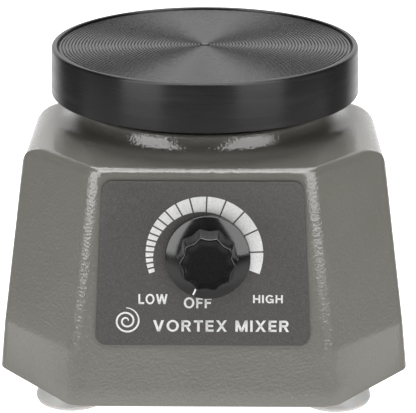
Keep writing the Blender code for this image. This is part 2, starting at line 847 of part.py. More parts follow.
def bearing():
    low, high = BEARING_Z
    middle = (low + high) / 2
    groove = BALL_RADIUS + GAP
    crank = bpy.data.objects["crank_axis"]
    head = bpy.data.objects["head_axis"]
    r_in, r_out = INNER_RING
    reach = math.degrees(math.acos((BALL_CIRCLE - r_out) / groove))
    track = arc((BALL_CIRCLE, middle), groove, 180 - reach, 180 + reach, 4)
    turned(
        "bearing_inner_ring",
        [(r_in, high), (r_out, high), *track, (r_out, low), (r_in, low)],
        bearing_steel(),
        steps=24,
        parent=crank,
    )
    r_in, r_out = OUTER_RING
    reach = math.degrees(math.acos((r_in - BALL_CIRCLE) / groove))
    track = arc((BALL_CIRCLE, middle), groove, -reach, reach, 4)
    turned(
        "bearing_outer_ring",
        [(r_in, high), (r_out, high), (r_out, low), (r_in, low), *track],
        bearing_steel(),
        steps=24,
        parent=head,
    )
    cage_axis = bpy.data.objects["cage_axis"]
    cage = turned(
        "bearing_ball_cage",
        [(8.4, middle + 0.7), (9.6, middle + 0.7), (9.6, middle - 0.7), (8.4, middle - 0.7)],
        bearing_steel(),
        steps=24,
        parent=cage_axis,
    )
    balls = []
    for i in range(BALLS):
        a = TURN * (i + 0.5) / BALLS
        shape = bmesh.new()
        bmesh.ops.create_uvsphere(shape, u_segments=8, v_segments=6, radius=BALL_RADIUS)
        ball = finish_mesh("ball", shape)
        at = (BALL_CIRCLE * math.cos(a), BALL_CIRCLE * math.sin(a), middle)
        balls.append(add_object(f"ball_tool_{i}", ball, None, cage_axis, at, tool=True))
    join(cage, *balls)
    clip = arc((0, 0), 13.9, -72, 252, 24) + arc((0, 0), 11.2, 252, -72, 24)
    plate("bearing_circlip", [clip], low - 1.5, low - 0.5, bearing_steel(), parent=head)
    screw = turned(
        "bearing_screw",
        [(0, 101.5), (3.6, 101.5), (4.2, 100.9), (4.2, 98.6), (6.8, 98.6), (6.8, high + GAP)]
        + [(2.2, high + GAP), (2.2, 88), (0, 88)],
        steel(),
        loop=False,
        parent=crank,
    )
    cut(screw, cylinder("socket_tool", 2.0, 99.6, 103, sides=6, parent=crank, tool=True))


def platform():
    head = bpy.data.objects["head_axis"]
    low, high = PLATE_Z
    r = PLATE_RADIUS
    hub_r, bore_r = 17.0, OUTER_RING[1] + GAP
    base = HUB_Z[1] + GAP
    z = BEARING_Z[0]
    disc = turned(
        "platform_plate",
        [(9.5, high), (r - 1, high), (r, high - 1), (r, low), (hub_r, low), (hub_r, base), (bore_r, base)]
        + [(bore_r, z - 1.8), (14.2, z - 1.8), (14.2, z - 0.2), (bore_r, z - 0.2)]
        + [(bore_r, BEARING_Z[1] + GAP), (9.5, BEARING_Z[1] + GAP)],
        aluminium(),
        steps=32,
        parent=head,
    )
    bosses, holes = [], []
    for i, centre in enumerate(guide_points()):
        at = {"centre": centre, "parent": head, "tool": True}
        bosses.append(cylinder(f"boss_tool_{i}", 9.4, 100, low + 1, **at))
        holes.append(cylinder(f"guide_bore_tool_{i}", GUIDE_HOLE_RADIUS, 99, 109, **at))
    join(disc, *bosses)
    cut(disc, *holes)
    low, high = COVER_Z
    r, inside = COVER_RADIUS, PLATE_RADIUS + GAP
    recess = high - RIM_HEIGHT
    turned(
        "platform_cover",
        [(0, recess), (r - RIM_WIDTH - 0.3, recess), (r - RIM_WIDTH, high), (r - 0.8, high)]
        + [(r, high - 0.8), (r + COVER_FLARE, low + 0.5), (r + COVER_FLARE - 0.5, low)]
        + [(inside + 0.2, low), (inside, low + 0.5)]
        + [(inside, PLATE_Z[1] + GAP), (0, PLATE_Z[1] + GAP)],
        black_rubber(),
        steps=48,
        loop=False,
        parent=head,
    )


def guides():
    for i, (x, y) in enumerate(guide_points()):
        turned(
            f"guide_pin_{i + 1}",
            [(0, 108.3), (3.2, 108.3), (3.8, 107.8), (3.8, 106.4), (2.5, 106.4), (2.5, 92.9)]
            + [(2.1, 92.5), (0, 92.5)],
            steel(),
            steps=10,
            loop=False,
            at=(x, y, 0),
        )
        turned(
            f"guide_sleeve_{i + 1}",
            [(2.8, 106), (4, 106), (4, COLLAR_TOP + GAP), (2.8, COLLAR_TOP + GAP)],
            black_rubber(),
            steps=12,
            at=(x, y, 0),
        )


# ---------------------------------------------------------------- control electronics


def electronics():
    board = [(-32, -64), (32, -64), (32, -44), (-32, -44)]
    holes = [circle((x, -54), 1.7, 12) for x in (-27, 27)]
    plate("control_board", [board, *holes], 14.0, 15.6, circuit_board())
    case = rounded_outline([(-20, -59), (-4, -59), (-4, -51), (-20, -51)], 1.2, 2)
    plate("capacitor", [case], 15.9, 28, film_capacitor())
    fins = [(8, -52), (8, -60), (10, -60), (10, -54), (13, -54), (13, -60), (15, -60), (15, -54)]
    fins += [(18, -54), (18, -60), (20, -60), (20, -52)]
    plate("triac_heat_sink", [fins], 15.9, 31, aluminium())
    plate("triac", [[(9, -51.7), (9, -47.2), (19, -47.2), (19, -51.7)]], 18, 33, black_plastic())
    route = [(24, -17, 26), (24, -26, 20.5), (23, -38, 19), (22, -47, 20), (22, -49.5, 19), (22, -49.5, 16)]
    tube("motor_lead", route, 1.1, lead_sleeve())
    route = [(1.7, -58, 42.2), (2.5, -58.5, 36), (2, -60, 27), (1, -58, 20), (1, -58, 16)]
    tube("pot_lead", route, 1.1, lead_sleeve())


def main():
    clear_scene()
    empty("rotor_axis", (0, 0, 0))
    for name in ("crank_axis", "cage_axis", "head_axis"):
        empty(name, (0, THROW, 0))
    panel_frames()
    housing()
    base_plate()
    feet()
    faceplate()
    speed_control()
    knob()
    cord_gland()
    mount_plate()
    stator()
    field_coils()
    end_brackets()
    rotor()
    eccentric()
    bearing()
    platform()
    guides()
    electronics()


main()
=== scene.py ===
"""The looks of the vortex mixer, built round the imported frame.

The object's sizes are in millimetres until a mesh is made, and the studio's are in metres. The frame
gives the places: the knob, the panel and the platform come from the joints, and the feet, the screws,
the guide pins and the gland from their nodes' boxes.
"""

import json
import math

import bmesh
import bpy
import numpy as np
from mathutils import Matrix, Vector

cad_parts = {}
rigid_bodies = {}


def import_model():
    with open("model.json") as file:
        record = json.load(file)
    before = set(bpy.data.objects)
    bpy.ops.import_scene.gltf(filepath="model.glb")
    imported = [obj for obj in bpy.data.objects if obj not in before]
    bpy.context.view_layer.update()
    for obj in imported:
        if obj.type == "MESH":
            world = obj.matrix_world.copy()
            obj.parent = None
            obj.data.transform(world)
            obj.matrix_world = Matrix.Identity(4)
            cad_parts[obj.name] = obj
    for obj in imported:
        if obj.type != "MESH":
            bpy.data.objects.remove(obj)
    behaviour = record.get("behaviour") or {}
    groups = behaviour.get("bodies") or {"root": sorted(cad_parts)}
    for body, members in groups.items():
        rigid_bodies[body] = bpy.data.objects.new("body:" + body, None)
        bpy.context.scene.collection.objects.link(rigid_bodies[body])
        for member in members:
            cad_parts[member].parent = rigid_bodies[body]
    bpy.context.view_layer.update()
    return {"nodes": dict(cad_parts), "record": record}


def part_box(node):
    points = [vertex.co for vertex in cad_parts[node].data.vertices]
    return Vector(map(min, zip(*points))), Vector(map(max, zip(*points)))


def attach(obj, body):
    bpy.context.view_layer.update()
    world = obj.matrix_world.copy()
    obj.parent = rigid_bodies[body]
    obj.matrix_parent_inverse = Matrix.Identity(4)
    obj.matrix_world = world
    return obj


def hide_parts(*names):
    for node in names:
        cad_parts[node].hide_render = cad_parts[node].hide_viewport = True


MM = 0.001
TURN = 2 * math.pi
JOIN_WITHIN = 1e-7  # metres between points that count as one
EDGE_ANGLE = math.radians(35)  # faces that meet at more than this show a hard edge

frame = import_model()
NODES = frame["nodes"]
JOINTS = {joint["name"]: joint for joint in frame["record"]["behaviour"]["joints"]}


def box_mm(node):
    low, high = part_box(node)
    return low / MM, high / MM


def upright_axis(node):
    """A frame on the upright axis through the middle of a node's box."""
    low, high = box_mm(node)
    return Matrix.Translation(((low.x + high.x) / 2, (low.y + high.y) / 2, 0))


CORNERS = ("front_right", "rear_right", "rear_left", "front_left")

# Housing: eight facets, each with its distance from the Z axis at the bottom, the kink and the deck
HOUSING_LOW, HOUSING_HIGH = box_mm("housing")
HOUSING_BOTTOM = HOUSING_LOW.z
COLLAR_TOP = HOUSING_HIGH.z
KINK_Z = HOUSING_BOTTOM + 20.0
DECK_Z = COLLAR_TOP - 7.2
FLAT_FACETS = (HOUSING_HIGH.x, HOUSING_HIGH.x - 2.5, 62.0)
FLAT_LEAN = math.atan2(FLAT_FACETS[1] - FLAT_FACETS[2], DECK_Z - KINK_Z)
FRONT_CHAMFERS = (81.7, 80.9, 69.6)
REAR_CHAMFERS = (81.7, 80.9, 52.5)
CHAMFER_TURNS = (4.0, -2.0, 0.0)  # degrees that a chamfer faces more to the side than 45
SHOULDERS = (3.5, 3.5, 9.5, 8.0, 8.0, 8.0, 9.5, 3.5)  # edge radius of the deck over each facet
RIDGE_RADIUS = 10.5
FRONT_CORNER_RADIUS = 5.0
REAR_CORNER_RADII = (4.0, 5.0, 10.0)
KINK_SOFTNESS = 1.2
BOTTOM_EDGE = 1.4
WALL = 4.0
HOUSING_STEPS = 720
EVEN_ANGLES = np.arange(HOUSING_STEPS) * TURN / HOUSING_STEPS
COLLAR_RADIUS = 47.5
COLLAR_FILLET = 6.5
COLLAR_EDGE = 1.2
COLLAR_ROOF = COLLAR_TOP - 4.5
CAVITY_RADIUS = 43.0
OPENING_RADIUS = 24.0
OPENING_EDGE = 0.8
FACETS = [FLAT_FACETS, FRONT_CHAMFERS, FLAT_FACETS, REAR_CHAMFERS]
FACETS += [FLAT_FACETS, REAR_CHAMFERS, FLAT_FACETS, FRONT_CHAMFERS]

# Platform
RIM_TOP = box_mm("platform_cover")[1].z
SKIRT_BOTTOM = box_mm("platform_cover")[0].z
SKIRT_RADIUS = (box_mm("platform_cover")[1].x - box_mm("platform_cover")[0].x) / 2
RIM_RADIUS = SKIRT_RADIUS - 0.5
RIM_STEP = 0.7
FIRST_RIB = 1.6
RIB_PITCH = 1.182
RIB_COUNT = 43
RIB_HEIGHT = 0.6
RIB_SECTION = ((0.0, 0.0), (0.2, 0.0), (0.28, 0.75), (0.46, 1.0), (0.74, 1.0), (0.92, 0.75))
CUP_RADIUS = 51.5
CUP_ROOF = 112.3


# ---------------------------------------------------------------- mesh helpers


def clean_mesh(name, points, faces):
    """A mesh from points in millimetres, with doubled points joined and its faces turned outwards."""
    mesh = bpy.data.meshes.new(name)
    mesh.from_pydata([Vector(point) * MM for point in points], [], [list(face) for face in faces])
    mesh.validate()
    shape = bmesh.new()
    shape.from_mesh(mesh)
    bmesh.ops.remove_doubles(shape, verts=shape.verts, dist=JOIN_WITHIN)
    bmesh.ops.recalc_face_normals(shape, faces=shape.faces)
    shape.to_mesh(mesh)
    shape.free()
    return mesh


def add_mesh(name, points, faces, finish, body, smooth=EDGE_ANGLE):
    """A piece from points in millimetres, riding on a body of the frame."""
    mesh = clean_mesh(name, points, faces)
    mesh.shade_smooth()
    mesh.set_sharp_from_angle(angle=smooth)
    mesh.materials.append(finish)
    obj = bpy.data.objects.new(name, mesh)
    bpy.context.scene.collection.objects.link(obj)
    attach(obj, body)
    return obj


def grid_faces(rows, columns, wrap_rows):
    """Quads of a grid of rows by columns that closes on itself along each row."""
    faces = []
    for i in range(rows if wrap_rows else rows - 1):
        here, there = i * columns, (i + 1) % rows * columns
        for j in range(columns):
            k = (j + 1) % columns
            faces.append((here + j, here + k, there + k, there + j))
    return faces


def revolve(profile, steps, place=None):
    """Points and faces of a closed profile of (radius, z) turned about Z, then moved by a matrix."""
    place = place or Matrix.Identity(4)
    points = []
    for r, z in profile:
        for i in range(steps):
            a = TURN * i / steps
            points.append(place @ Vector((r * math.cos(a), r * math.sin(a), z)))
    on_axis = profile[0][0] < 1e-6 and profile[-1][0] < 1e-6
    return points, grid_faces(len(profile), steps, not on_axis)


def soft_profile(corners, steps=6):
    """An outline of (x, y, radius) corners, each rounded to its radius where that is above zero."""
    points = []
    for i, (x, y, radius) in enumerate(corners):
        here = Vector((x, y))
        before = Vector(corners[i - 1][:2]) - here
        after = Vector(corners[(i + 1) % len(corners)][:2]) - here
        if radius <= 0 or before.length * after.length == 0:
            points.append((x, y))
            continue
        before.normalize()
        after.normalize()
        half = math.acos(max(-1.0, min(1.0, before.dot(after)))) / 2
        reach = radius / math.tan(half)
        start, end = here + before * reach, here + after * reach
        centre = here + (before + after).normalized() * (radius / math.sin(half))
        first, last = start - centre, end - centre
        sweep = first.angle_signed(last)
        for k in range(steps + 1):
            turn = Matrix.Rotation(-sweep * k / steps, 2)
            points.append(tuple(centre + turn @ first))
    return points


def extruded(outline, layers):
    """Points and faces of an outline given at each (z, inset) layer, capped at both ends."""
    points = []
    count = len(outline)
    for z, inset in layers:
        for i, (x, y) in enumerate(outline):
            along = Vector(outline[(i + 1) % count]) - Vector(outline[i - 1])
            out = Vector((along.y, -along.x)).normalized() * inset
            points.append((x - out.x, y - out.y, z))
    faces = grid_faces(len(layers), count, False)
    faces.append(tuple(reversed(range(count))))
    faces.append(tuple(range((len(layers) - 1) * count, len(layers) * count)))
    return points, faces


def placed(points, place):
    return [place @ Vector(point) for point in points]


def merged(*shapes):
    """Several (points, faces) shapes as one."""
    points, faces = [], []
    for more_points, more_faces in shapes:
        start = len(points)
        points += list(more_points)
        faces += [tuple(index + start for index in face) for face in more_faces]
    return points, faces


# ---------------------------------------------------------------- material helpers

RANGE_SOCKETS = ("From Min", "From Max", "To Min", "To Max")


class Finish:
    """A material under construction: its nodes are added by the methods, and its shader is kept."""

    def __init__(self, name, **sockets):
        self.material = bpy.data.materials.new(name)
        self.material.use_nodes = True
        self.tree = self.material.node_tree
        self.shader = self.tree.nodes["Principled BSDF"]
        for socket, value in sockets.items():
            self.shader.inputs[socket.replace("_", " ")].default_value = value
        self.place = self.add("ShaderNodeTexCoord").outputs["Object"]

    def add(self, kind, **settings):
        node = self.tree.nodes.new(kind)
        for key, value in settings.items():
            setattr(node, key, value)
        return node

    def link(self, source, socket):
        self.tree.links.new(source, socket)

    def stretched(self, scale):
        """Object coordinates in metres, scaled along each axis."""
        mapping = self.add("ShaderNodeMapping")
        mapping.inputs["Scale"].default_value = scale
        self.link(self.place, mapping.inputs["Vector"])
        return mapping.outputs["Vector"]

    def noise(self, scale, detail=2.0, roughness=0.5, distortion=0.0, vector=None):
        node = self.add("ShaderNodeTexNoise")
        node.inputs["Scale"].default_value = scale
        node.inputs["Detail"].default_value = detail
        node.inputs["Roughness"].default_value = roughness
        node.inputs["Distortion"].default_value = distortion
        self.link(vector or self.place, node.inputs["Vector"])
        return node.outputs["Fac"]

    def cells(self, scale, smoothness):
        node = self.add("ShaderNodeTexVoronoi", feature="SMOOTH_F1")
        node.inputs["Scale"].default_value = scale
        node.inputs["Smoothness"].default_value = smoothness
        self.link(self.place, node.inputs["Vector"])
        return node.outputs["Distance"]

    def bands(self, scale, direction="Z", distortion=0.0, vector=None):
        node = self.add("ShaderNodeTexWave", bands_direction=direction)
        node.inputs["Scale"].default_value = scale
        node.inputs["Distortion"].default_value = distortion
        self.link(vector or self.place, node.inputs["Vector"])
        return node.outputs["Fac"]

    def spread(self, value, low, high, start=0.0, end=1.0):
        """The value carried from start..end to low..high."""
        node = self.add("ShaderNodeMapRange")
        for socket, number in zip(RANGE_SOCKETS, (start, end, low, high)):
            node.inputs[socket].default_value = number
        self.link(value, node.inputs["Value"])
        return node.outputs["Result"]

    def sum(self, first, second, operation="ADD"):
        node = self.add("ShaderNodeMath", operation=operation)
        for socket, value in zip(node.inputs, (first, second)):
            if isinstance(value, (int, float)):
                socket.default_value = value
            else:
                self.link(value, socket)
        return node.outputs["Value"]

    def blend(self, factor, first, second):
        """A colour between two, each a colour or another output."""
        node = self.add("ShaderNodeMix", data_type="RGBA")
        self.link(factor, node.inputs["Factor"])
        for socket, value in zip((node.inputs[6], node.inputs[7]), (first, second)):
            if isinstance(value, tuple):
                socket.default_value = (*value, 1.0)
            else:
                self.link(value, socket)
        return node.outputs[2]

    def colour(self, value):
        self.link(value, self.shader.inputs["Base Color"])

    def roughness(self, value):
        self.link(value, self.shader.inputs["Roughness"])

    def bump(self, height, depth_mm, strength):
        """A bump whose height runs from 0 to 1 over a depth in millimetres."""
        node = self.add("ShaderNodeBump")
        node.inputs["Strength"].default_value = strength
        node.inputs["Distance"].default_value = depth_mm * MM
        self.link(height, node.inputs["Height"])
        self.link(node.outputs["Normal"], self.shader.inputs["Normal"])


# ---------------------------------------------------------------- finishes


def hammered_paint():
    """Glossy grey enamel over a fine hammered texture, whose dimples are about 0.9 mm apart."""
    f = Finish("hammered_grey_enamel", IOR=1.65)
    dimples = f.cells(1080.0, 0.8)
    wrinkle = f.noise(1500.0, 2.0, 0.55, 0.3)
    swell = f.noise(330.0, 2.0)
    mottle = f.noise(60.0, 3.0)
    flakes = f.noise(5200.0, 1.0)
    specks = f.spread(f.noise(800.0, 1.0), 0.0, 1.0, 0.75, 0.78)
    base = f.blend(mottle, (0.192, 0.184, 0.162), (0.222, 0.214, 0.189))
    base = f.blend(f.spread(flakes, 0.0, 0.3, 0.5, 0.8), base, (0.27, 0.262, 0.24))
    base = f.blend(f.spread(specks, 0.0, 0.35), base, (0.36, 0.35, 0.33))
    f.colour(base)
    f.roughness(f.spread(mottle, 0.06, 0.10, 0.3, 0.7))
    rough_skin = f.sum(dimples, f.sum(f.spread(wrinkle, 0.0, 0.9), f.spread(swell, 0.0, 0.3)))
    f.bump(rough_skin, 0.065, 0.9)
    return f.material


def platform_top_rubber():
    """Black rubber, as moulded, with a thin uneven film of dust."""
    f = Finish("black_rubber_ribs", IOR=1.47)
    dust = f.noise(90.0, 4.0, 0.6)
    grain = f.noise(2600.0, 2.0)
    f.colour(f.blend(dust, (0.010, 0.010, 0.010), (0.026, 0.026, 0.026)))
    f.roughness(f.spread(dust, 0.21, 0.30, 0.3, 0.7))
    f.bump(grain, 0.015, 0.4)
    return f.material


def platform_side_rubber():
    """The same rubber turned smooth on its side, with fine tool lines that run round it."""
    f = Finish(
        "black_rubber_side", Specular_IOR_Level=0.32, Anisotropic=0.8, Anisotropic_Rotation=0.25
    )
    cloud = f.noise(90.0, 3.0)
    lines = f.noise(1.0, 2.0, 0.6, vector=f.stretched((25.0, 25.0, 1500.0)))
    streaks = f.noise(1.0, 3.0, 0.6, vector=f.stretched((18.0, 18.0, 260.0)))
    base = f.blend(cloud, (0.012, 0.012, 0.012), (0.020, 0.020, 0.020))
    f.colour(f.blend(f.spread(streaks, 0.0, 0.5, 0.55, 0.8), base, (0.05, 0.05, 0.049)))
    f.roughness(f.spread(streaks, 0.22, 0.34, 0.3, 0.7))
    f.bump(f.sum(f.spread(lines, 0.0, 0.6), f.spread(cloud, 0.0, 0.6)), 0.02, 0.5)
    around = f.add("ShaderNodeTangent", direction_type="RADIAL", axis="Z")
    f.link(around.outputs["Tangent"], f.shader.inputs["Tangent"])
    return f.material


def foot_rubber():
    """Pale grey translucent rubber."""
    f = Finish("grey_foot_rubber", Subsurface_Weight=0.25, Subsurface_Scale=0.004, IOR=1.45)
    cloud = f.noise(140.0, 3.0)
    f.colour(f.blend(cloud, (0.54, 0.55, 0.54), (0.66, 0.67, 0.66)))
    f.roughness(f.spread(cloud, 0.26, 0.38, 0.3, 0.7))
    f.bump(f.noise(1600.0, 2.0), 0.02, 0.5)
    return f.material


def knob_gloss():
    """Polished black thermoset plastic with light handling marks."""
    f = Finish("polished_black_plastic", IOR=1.55)
    smear = f.noise(120.0, 3.0, 0.6)
    f.colour(f.blend(smear, (0.010, 0.010, 0.010), (0.020, 0.020, 0.020)))
    f.roughness(f.spread(smear, 0.08, 0.17, 0.35, 0.65))
    f.bump(f.noise(700.0, 2.0), 0.01, 0.4)
    return f.material


def knob_matt():
    """The knob's flat face: the same plastic with a fine moulded grain, its base colour darker than the
    skirt's as painted shade.
    """
    f = Finish("grained_black_plastic_painted_shade", IOR=1.4)
    grain = f.noise(3200.0, 2.0)
    # painted shade: the same plastic as the skirt, with a darker base colour standing in for the shade
    # on the face
    f.colour(f.blend(grain, (0.003, 0.003, 0.003), (0.007, 0.007, 0.007)))
    f.roughness(f.spread(grain, 0.24, 0.34, 0.3, 0.7))
    f.bump(grain, 0.012, 0.4)
    return f.material


def moulded_plastic():
    """Black nylon with a spark-eroded grain."""
    f = Finish("moulded_black_nylon", IOR=1.5)
    grain = f.noise(2400.0, 3.0)
    cloud = f.noise(110.0, 2.0)
    f.colour(f.blend(cloud, (0.012, 0.012, 0.013), (0.026, 0.026, 0.027)))
    f.roughness(f.spread(grain, 0.40, 0.58, 0.3, 0.7))
    f.bump(grain, 0.03, 0.6)
    return f.material


def panel_film():
    """Dark grey textured film over the metal plate."""
    f = Finish("printed_panel_film", IOR=1.5, Specular_IOR_Level=0.25)
    grain = f.noise(2400.0, 3.0, 0.7)
    cloud = f.noise(45.0, 2.0)
    base = f.blend(cloud, (0.064, 0.0595, 0.0585), (0.075, 0.070, 0.068))
    f.colour(f.blend(f.spread(grain, 0.0, 0.8, 0.42, 0.62), base, (0.122, 0.116, 0.113)))
    f.roughness(f.spread(grain, 0.42, 0.56, 0.3, 0.7))
    f.bump(grain, 0.03, 0.6)
    return f.material


def white_ink():
    """Screen-printed white, slightly uneven where the film's grain shows through."""
    f = Finish("white_screen_ink")
    grain = f.noise(1500.0, 3.0, 0.7)
    f.colour(f.blend(f.spread(grain, 0.0, 1.0, 0.35, 0.6), (0.74, 0.74, 0.73), (0.88, 0.88, 0.87)))
    f.roughness(f.spread(grain, 0.45, 0.6))
    f.bump(grain, 0.02, 0.4)
    return f.material


def machined(name, dark, light, roughness):
    """Bare metal with tool marks round its axis."""
    f = Finish(name, Metallic=1.0)
    marks = f.noise(1.0, 3.0, 0.6, vector=f.stretched((20.0, 20.0, 2600.0)))
    cloud = f.noise(150.0, 3.0)
    f.colour(f.blend(cloud, dark, light))
    f.roughness(f.spread(marks, roughness - 0.08, roughness + 0.1, 0.3, 0.7))
    f.bump(marks, 0.012, 0.5)
    return f.material


def zinc_plate():
    """Zinc plated sheet with its cloudy spangle and a faint yellow passivation."""
    f = Finish("zinc_plated_sheet", Metallic=1.0)
    spangle = f.cells(260.0, 0.3)
    cloud = f.noise(70.0, 4.0)
    base = f.blend(cloud, (0.44, 0.43, 0.40), (0.58, 0.57, 0.53))
    f.colour(f.blend(f.spread(spangle, 0.0, 0.4, 0.2, 0.9), base, (0.66, 0.66, 0.64)))
    f.roughness(f.spread(spangle, 0.28, 0.44, 0.2, 0.9))
    f.bump(f.noise(1400.0, 3.0), 0.015, 0.5)
    return f.material


def cast_aluminium():
    """Sand-blasted die casting."""
    f = Finish("die_cast_aluminium", Metallic=1.0)
    grain = f.noise(1700.0, 3.0, 0.6)
    cloud = f.noise(90.0, 3.0)
    f.colour(f.blend(cloud, (0.50, 0.51, 0.52), (0.66, 0.67, 0.68)))
    f.roughness(f.spread(grain, 0.42, 0.60, 0.3, 0.7))
    f.bump(grain, 0.05, 0.7)
    return f.material


def laminations():
    """A stack of varnished iron sheets, half a millimetre each."""
    f = Finish("varnished_laminations", Metallic=0.75)
    sheets = f.bands(620.0)
    cloud = f.noise(160.0, 3.0)
    base = f.blend(cloud, (0.13, 0.12, 0.11), (0.22, 0.20, 0.18))
    f.colour(f.blend(f.spread(sheets, 0.0, 0.6), base, (0.07, 0.06, 0.05)))
    f.roughness(f.spread(sheets, 0.38, 0.55))
    f.bump(sheets, 0.08, 0.6)
    return f.material


def winding():
    """Enamelled copper wire wound side by side, 0.5 mm across."""
    f = Finish("enamelled_copper_winding", Metallic=0.85, Coat_Weight=0.5, Coat_Roughness=0.15)
    wires = f.bands(620.0, "X", 0.3)
    cloud = f.noise(120.0, 2.0)
    base = f.blend(cloud, (0.42, 0.13, 0.04), (0.58, 0.21, 0.07))
    f.colour(f.blend(f.spread(wires, 0.6, 0.0), base, (0.16, 0.045, 0.015)))
    f.roughness(f.spread(cloud, 0.22, 0.34))
    f.bump(wires, 0.15, 0.8)
    return f.material


def porous_bronze():
    f = Finish("sintered_bronze", Metallic=1.0)
    pores = f.cells(2400.0, 0.2)
    f.colour(f.blend(f.spread(pores, 0.0, 1.0, 0.1, 0.6), (0.30, 0.17, 0.07), (0.52, 0.33, 0.15)))
    f.roughness(f.spread(pores, 0.6, 0.42, 0.1, 0.6))
    f.bump(pores, 0.03, 0.7)
    return f.material


def mount_rubber():
    f = Finish("matt_black_rubber", IOR=1.5)
    grain = f.noise(1900.0, 3.0)
    cloud = f.noise(100.0, 3.0)
    f.colour(f.blend(cloud, (0.012, 0.012, 0.012), (0.035, 0.034, 0.033)))
    f.roughness(f.spread(grain, 0.55, 0.75, 0.3, 0.7))
    f.bump(grain, 0.04, 0.6)
    return f.material


def circuit_board():
    """Green solder mask with raised tracks under it and a tinned pad here and there."""
    f = Finish("green_circuit_board", Coat_Weight=0.6, Coat_Roughness=0.12)
    tracks = f.add("ShaderNodeTexBrick")
    for socket, value in (("Scale", 170.0), ("Mortar Size", 0.035), ("Row Height", 0.5)):
        tracks.inputs[socket].default_value = value
    f.link(f.place, tracks.inputs["Vector"])
    pads = f.spread(f.cells(210.0, 0.0), 1.0, 0.0, 0.14, 0.17)
    mask = f.blend(tracks.outputs["Fac"], (0.010, 0.095, 0.035), (0.022, 0.17, 0.065))
    f.colour(f.blend(pads, mask, (0.62, 0.62, 0.60)))
    f.roughness(f.spread(f.noise(300.0), 0.3, 0.45))
    f.bump(tracks.outputs["Fac"], 0.04, 0.6)
    return f.material


def dipped_epoxy():
    f = Finish("dipped_red_epoxy", Coat_Weight=0.7, Coat_Roughness=0.1)
    cloud = f.noise(170.0, 3.0)
    f.colour(f.blend(cloud, (0.34, 0.035, 0.018), (0.52, 0.075, 0.035)))
    f.roughness(f.spread(cloud, 0.2, 0.34))
    f.bump(cloud, 0.15, 0.6)
    return f.material


def braided_sleeve():
    """Red glass-fibre sleeve with its diagonal braid."""
    f = Finish("braided_red_sleeve")
    one_way = f.bands(330.0, "DIAGONAL")
    other = f.bands(330.0, "DIAGONAL", vector=f.stretched((-1.0, 1.0, 1.0)))
    braid = f.sum(one_way, other, "MULTIPLY")
    f.colour(f.blend(braid, (0.28, 0.02, 0.015), (0.58, 0.07, 0.05)))
    f.roughness(f.spread(braid, 0.7, 0.5))
    f.bump(braid, 0.12, 0.8)
    return f.material


def pale_floor():
    """A white light table: it glows, so the object throws hardly any shadow on it."""
    f = Finish("pale_floor", Roughness=0.6, Emission_Color=(1.0, 1.0, 1.0, 1.0), Emission_Strength=1.3)
    cloud = f.noise(3.0, 2.0)
    f.colour(f.blend(cloud, (0.50, 0.50, 0.50), (0.54, 0.54, 0.54)))
    f.bump(f.noise(700.0, 2.0), 0.02, 0.2)
    return f.material


# ---------------------------------------------------------------- housing


def at_height(values, z):
    """A value at a height, on lines between the three given, with the bend at the kink softened."""
    bottom, kink, deck = values
    below = (kink - bottom) / (KINK_Z - HOUSING_BOTTOM)
    above = (deck - kink) / (DECK_Z - KINK_Z)
    past = z - KINK_Z
    if abs(past) < KINK_SOFTNESS:
        bend = (past + KINK_SOFTNESS) ** 2 / (4 * KINK_SOFTNESS)
    else:
        bend = max(past, 0.0)
    return bottom + below * (z - HOUSING_BOTTOM) + (above - below) * bend


def facing(k, z):
    """The direction of facet k in degrees: the front one is -90, and they go round anticlockwise."""
    turn = at_height(CHAMFER_TURNS, z)
    return -90 + 45 * k + {1: turn, 3: -turn, 5: turn, 7: -turn}.get(k, 0)


def facet_ring(distances, heights, radii, steps=8):
    """Eight facets at their distances and heights, with each corner between two of them rounded."""
    points = []
    for k in range(8):
        after = (k + 1) % 8
        start = math.radians(facing(k, heights[k]))
        end = math.radians(facing(after, heights[after])) + TURN * (after == 0)
        sides = Matrix(((math.cos(start), math.sin(start)), (math.cos(end), math.sin(end))))
        corner = sides.inverted() @ Vector((distances[k] - radii[k], distances[after] - radii[k]))
        for i in range(steps + 1):
            a = start + (end - start) * i / steps
            x, y = corner.x + radii[k] * math.cos(a), corner.y + radii[k] * math.sin(a)
            points.append((x, y, heights[k] + (heights[after] - heights[k]) * i / steps))
    return np.array(points)


def corner_radii(z, inset=0.0):
    """The radius of each corner, the first being the ridge right of the front face."""
    ridge, front, rear = RIDGE_RADIUS, FRONT_CORNER_RADIUS, at_height(REAR_CORNER_RADII, z)
    return [max(r - inset, 1.0) for r in (ridge, front, rear, rear, rear, rear, front, ridge)]


def spread_evenly(ring):
    """The ring's radius and height at even angles, where each ray from the axis crosses it."""
    ring = np.vstack([ring, ring[:1]])
    turns = np.unwrap(np.arctan2(ring[:, 1], ring[:, 0]))
    angles = turns[0] + (EVEN_ANGLES - turns[0]) % TURN
    index = np.clip(np.searchsorted(turns, angles, side="right") - 1, 0, len(turns) - 2)
    start, along = ring[index], ring[index + 1] - ring[index]
    ray_x, ray_y = np.cos(angles), np.sin(angles)
    across = ray_x * along[:, 1] - ray_y * along[:, 0]
    reach = (start[:, 0] * along[:, 1] - start[:, 1] * along[:, 0]) / across
    share = (start[:, 0] * ray_y - start[:, 1] * ray_x) / across
    return reach, start[:, 2] + share * along[:, 2]


def level_ring(z, inset=0.0):
    distances = [at_height(f, z) - inset for f in FACETS]
    return spread_evenly(facet_ring(distances, [z] * 8, corner_radii(z, inset)))


def round_ring(radius, z):
    return np.full(HOUSING_STEPS, radius), np.full(HOUSING_STEPS, z)


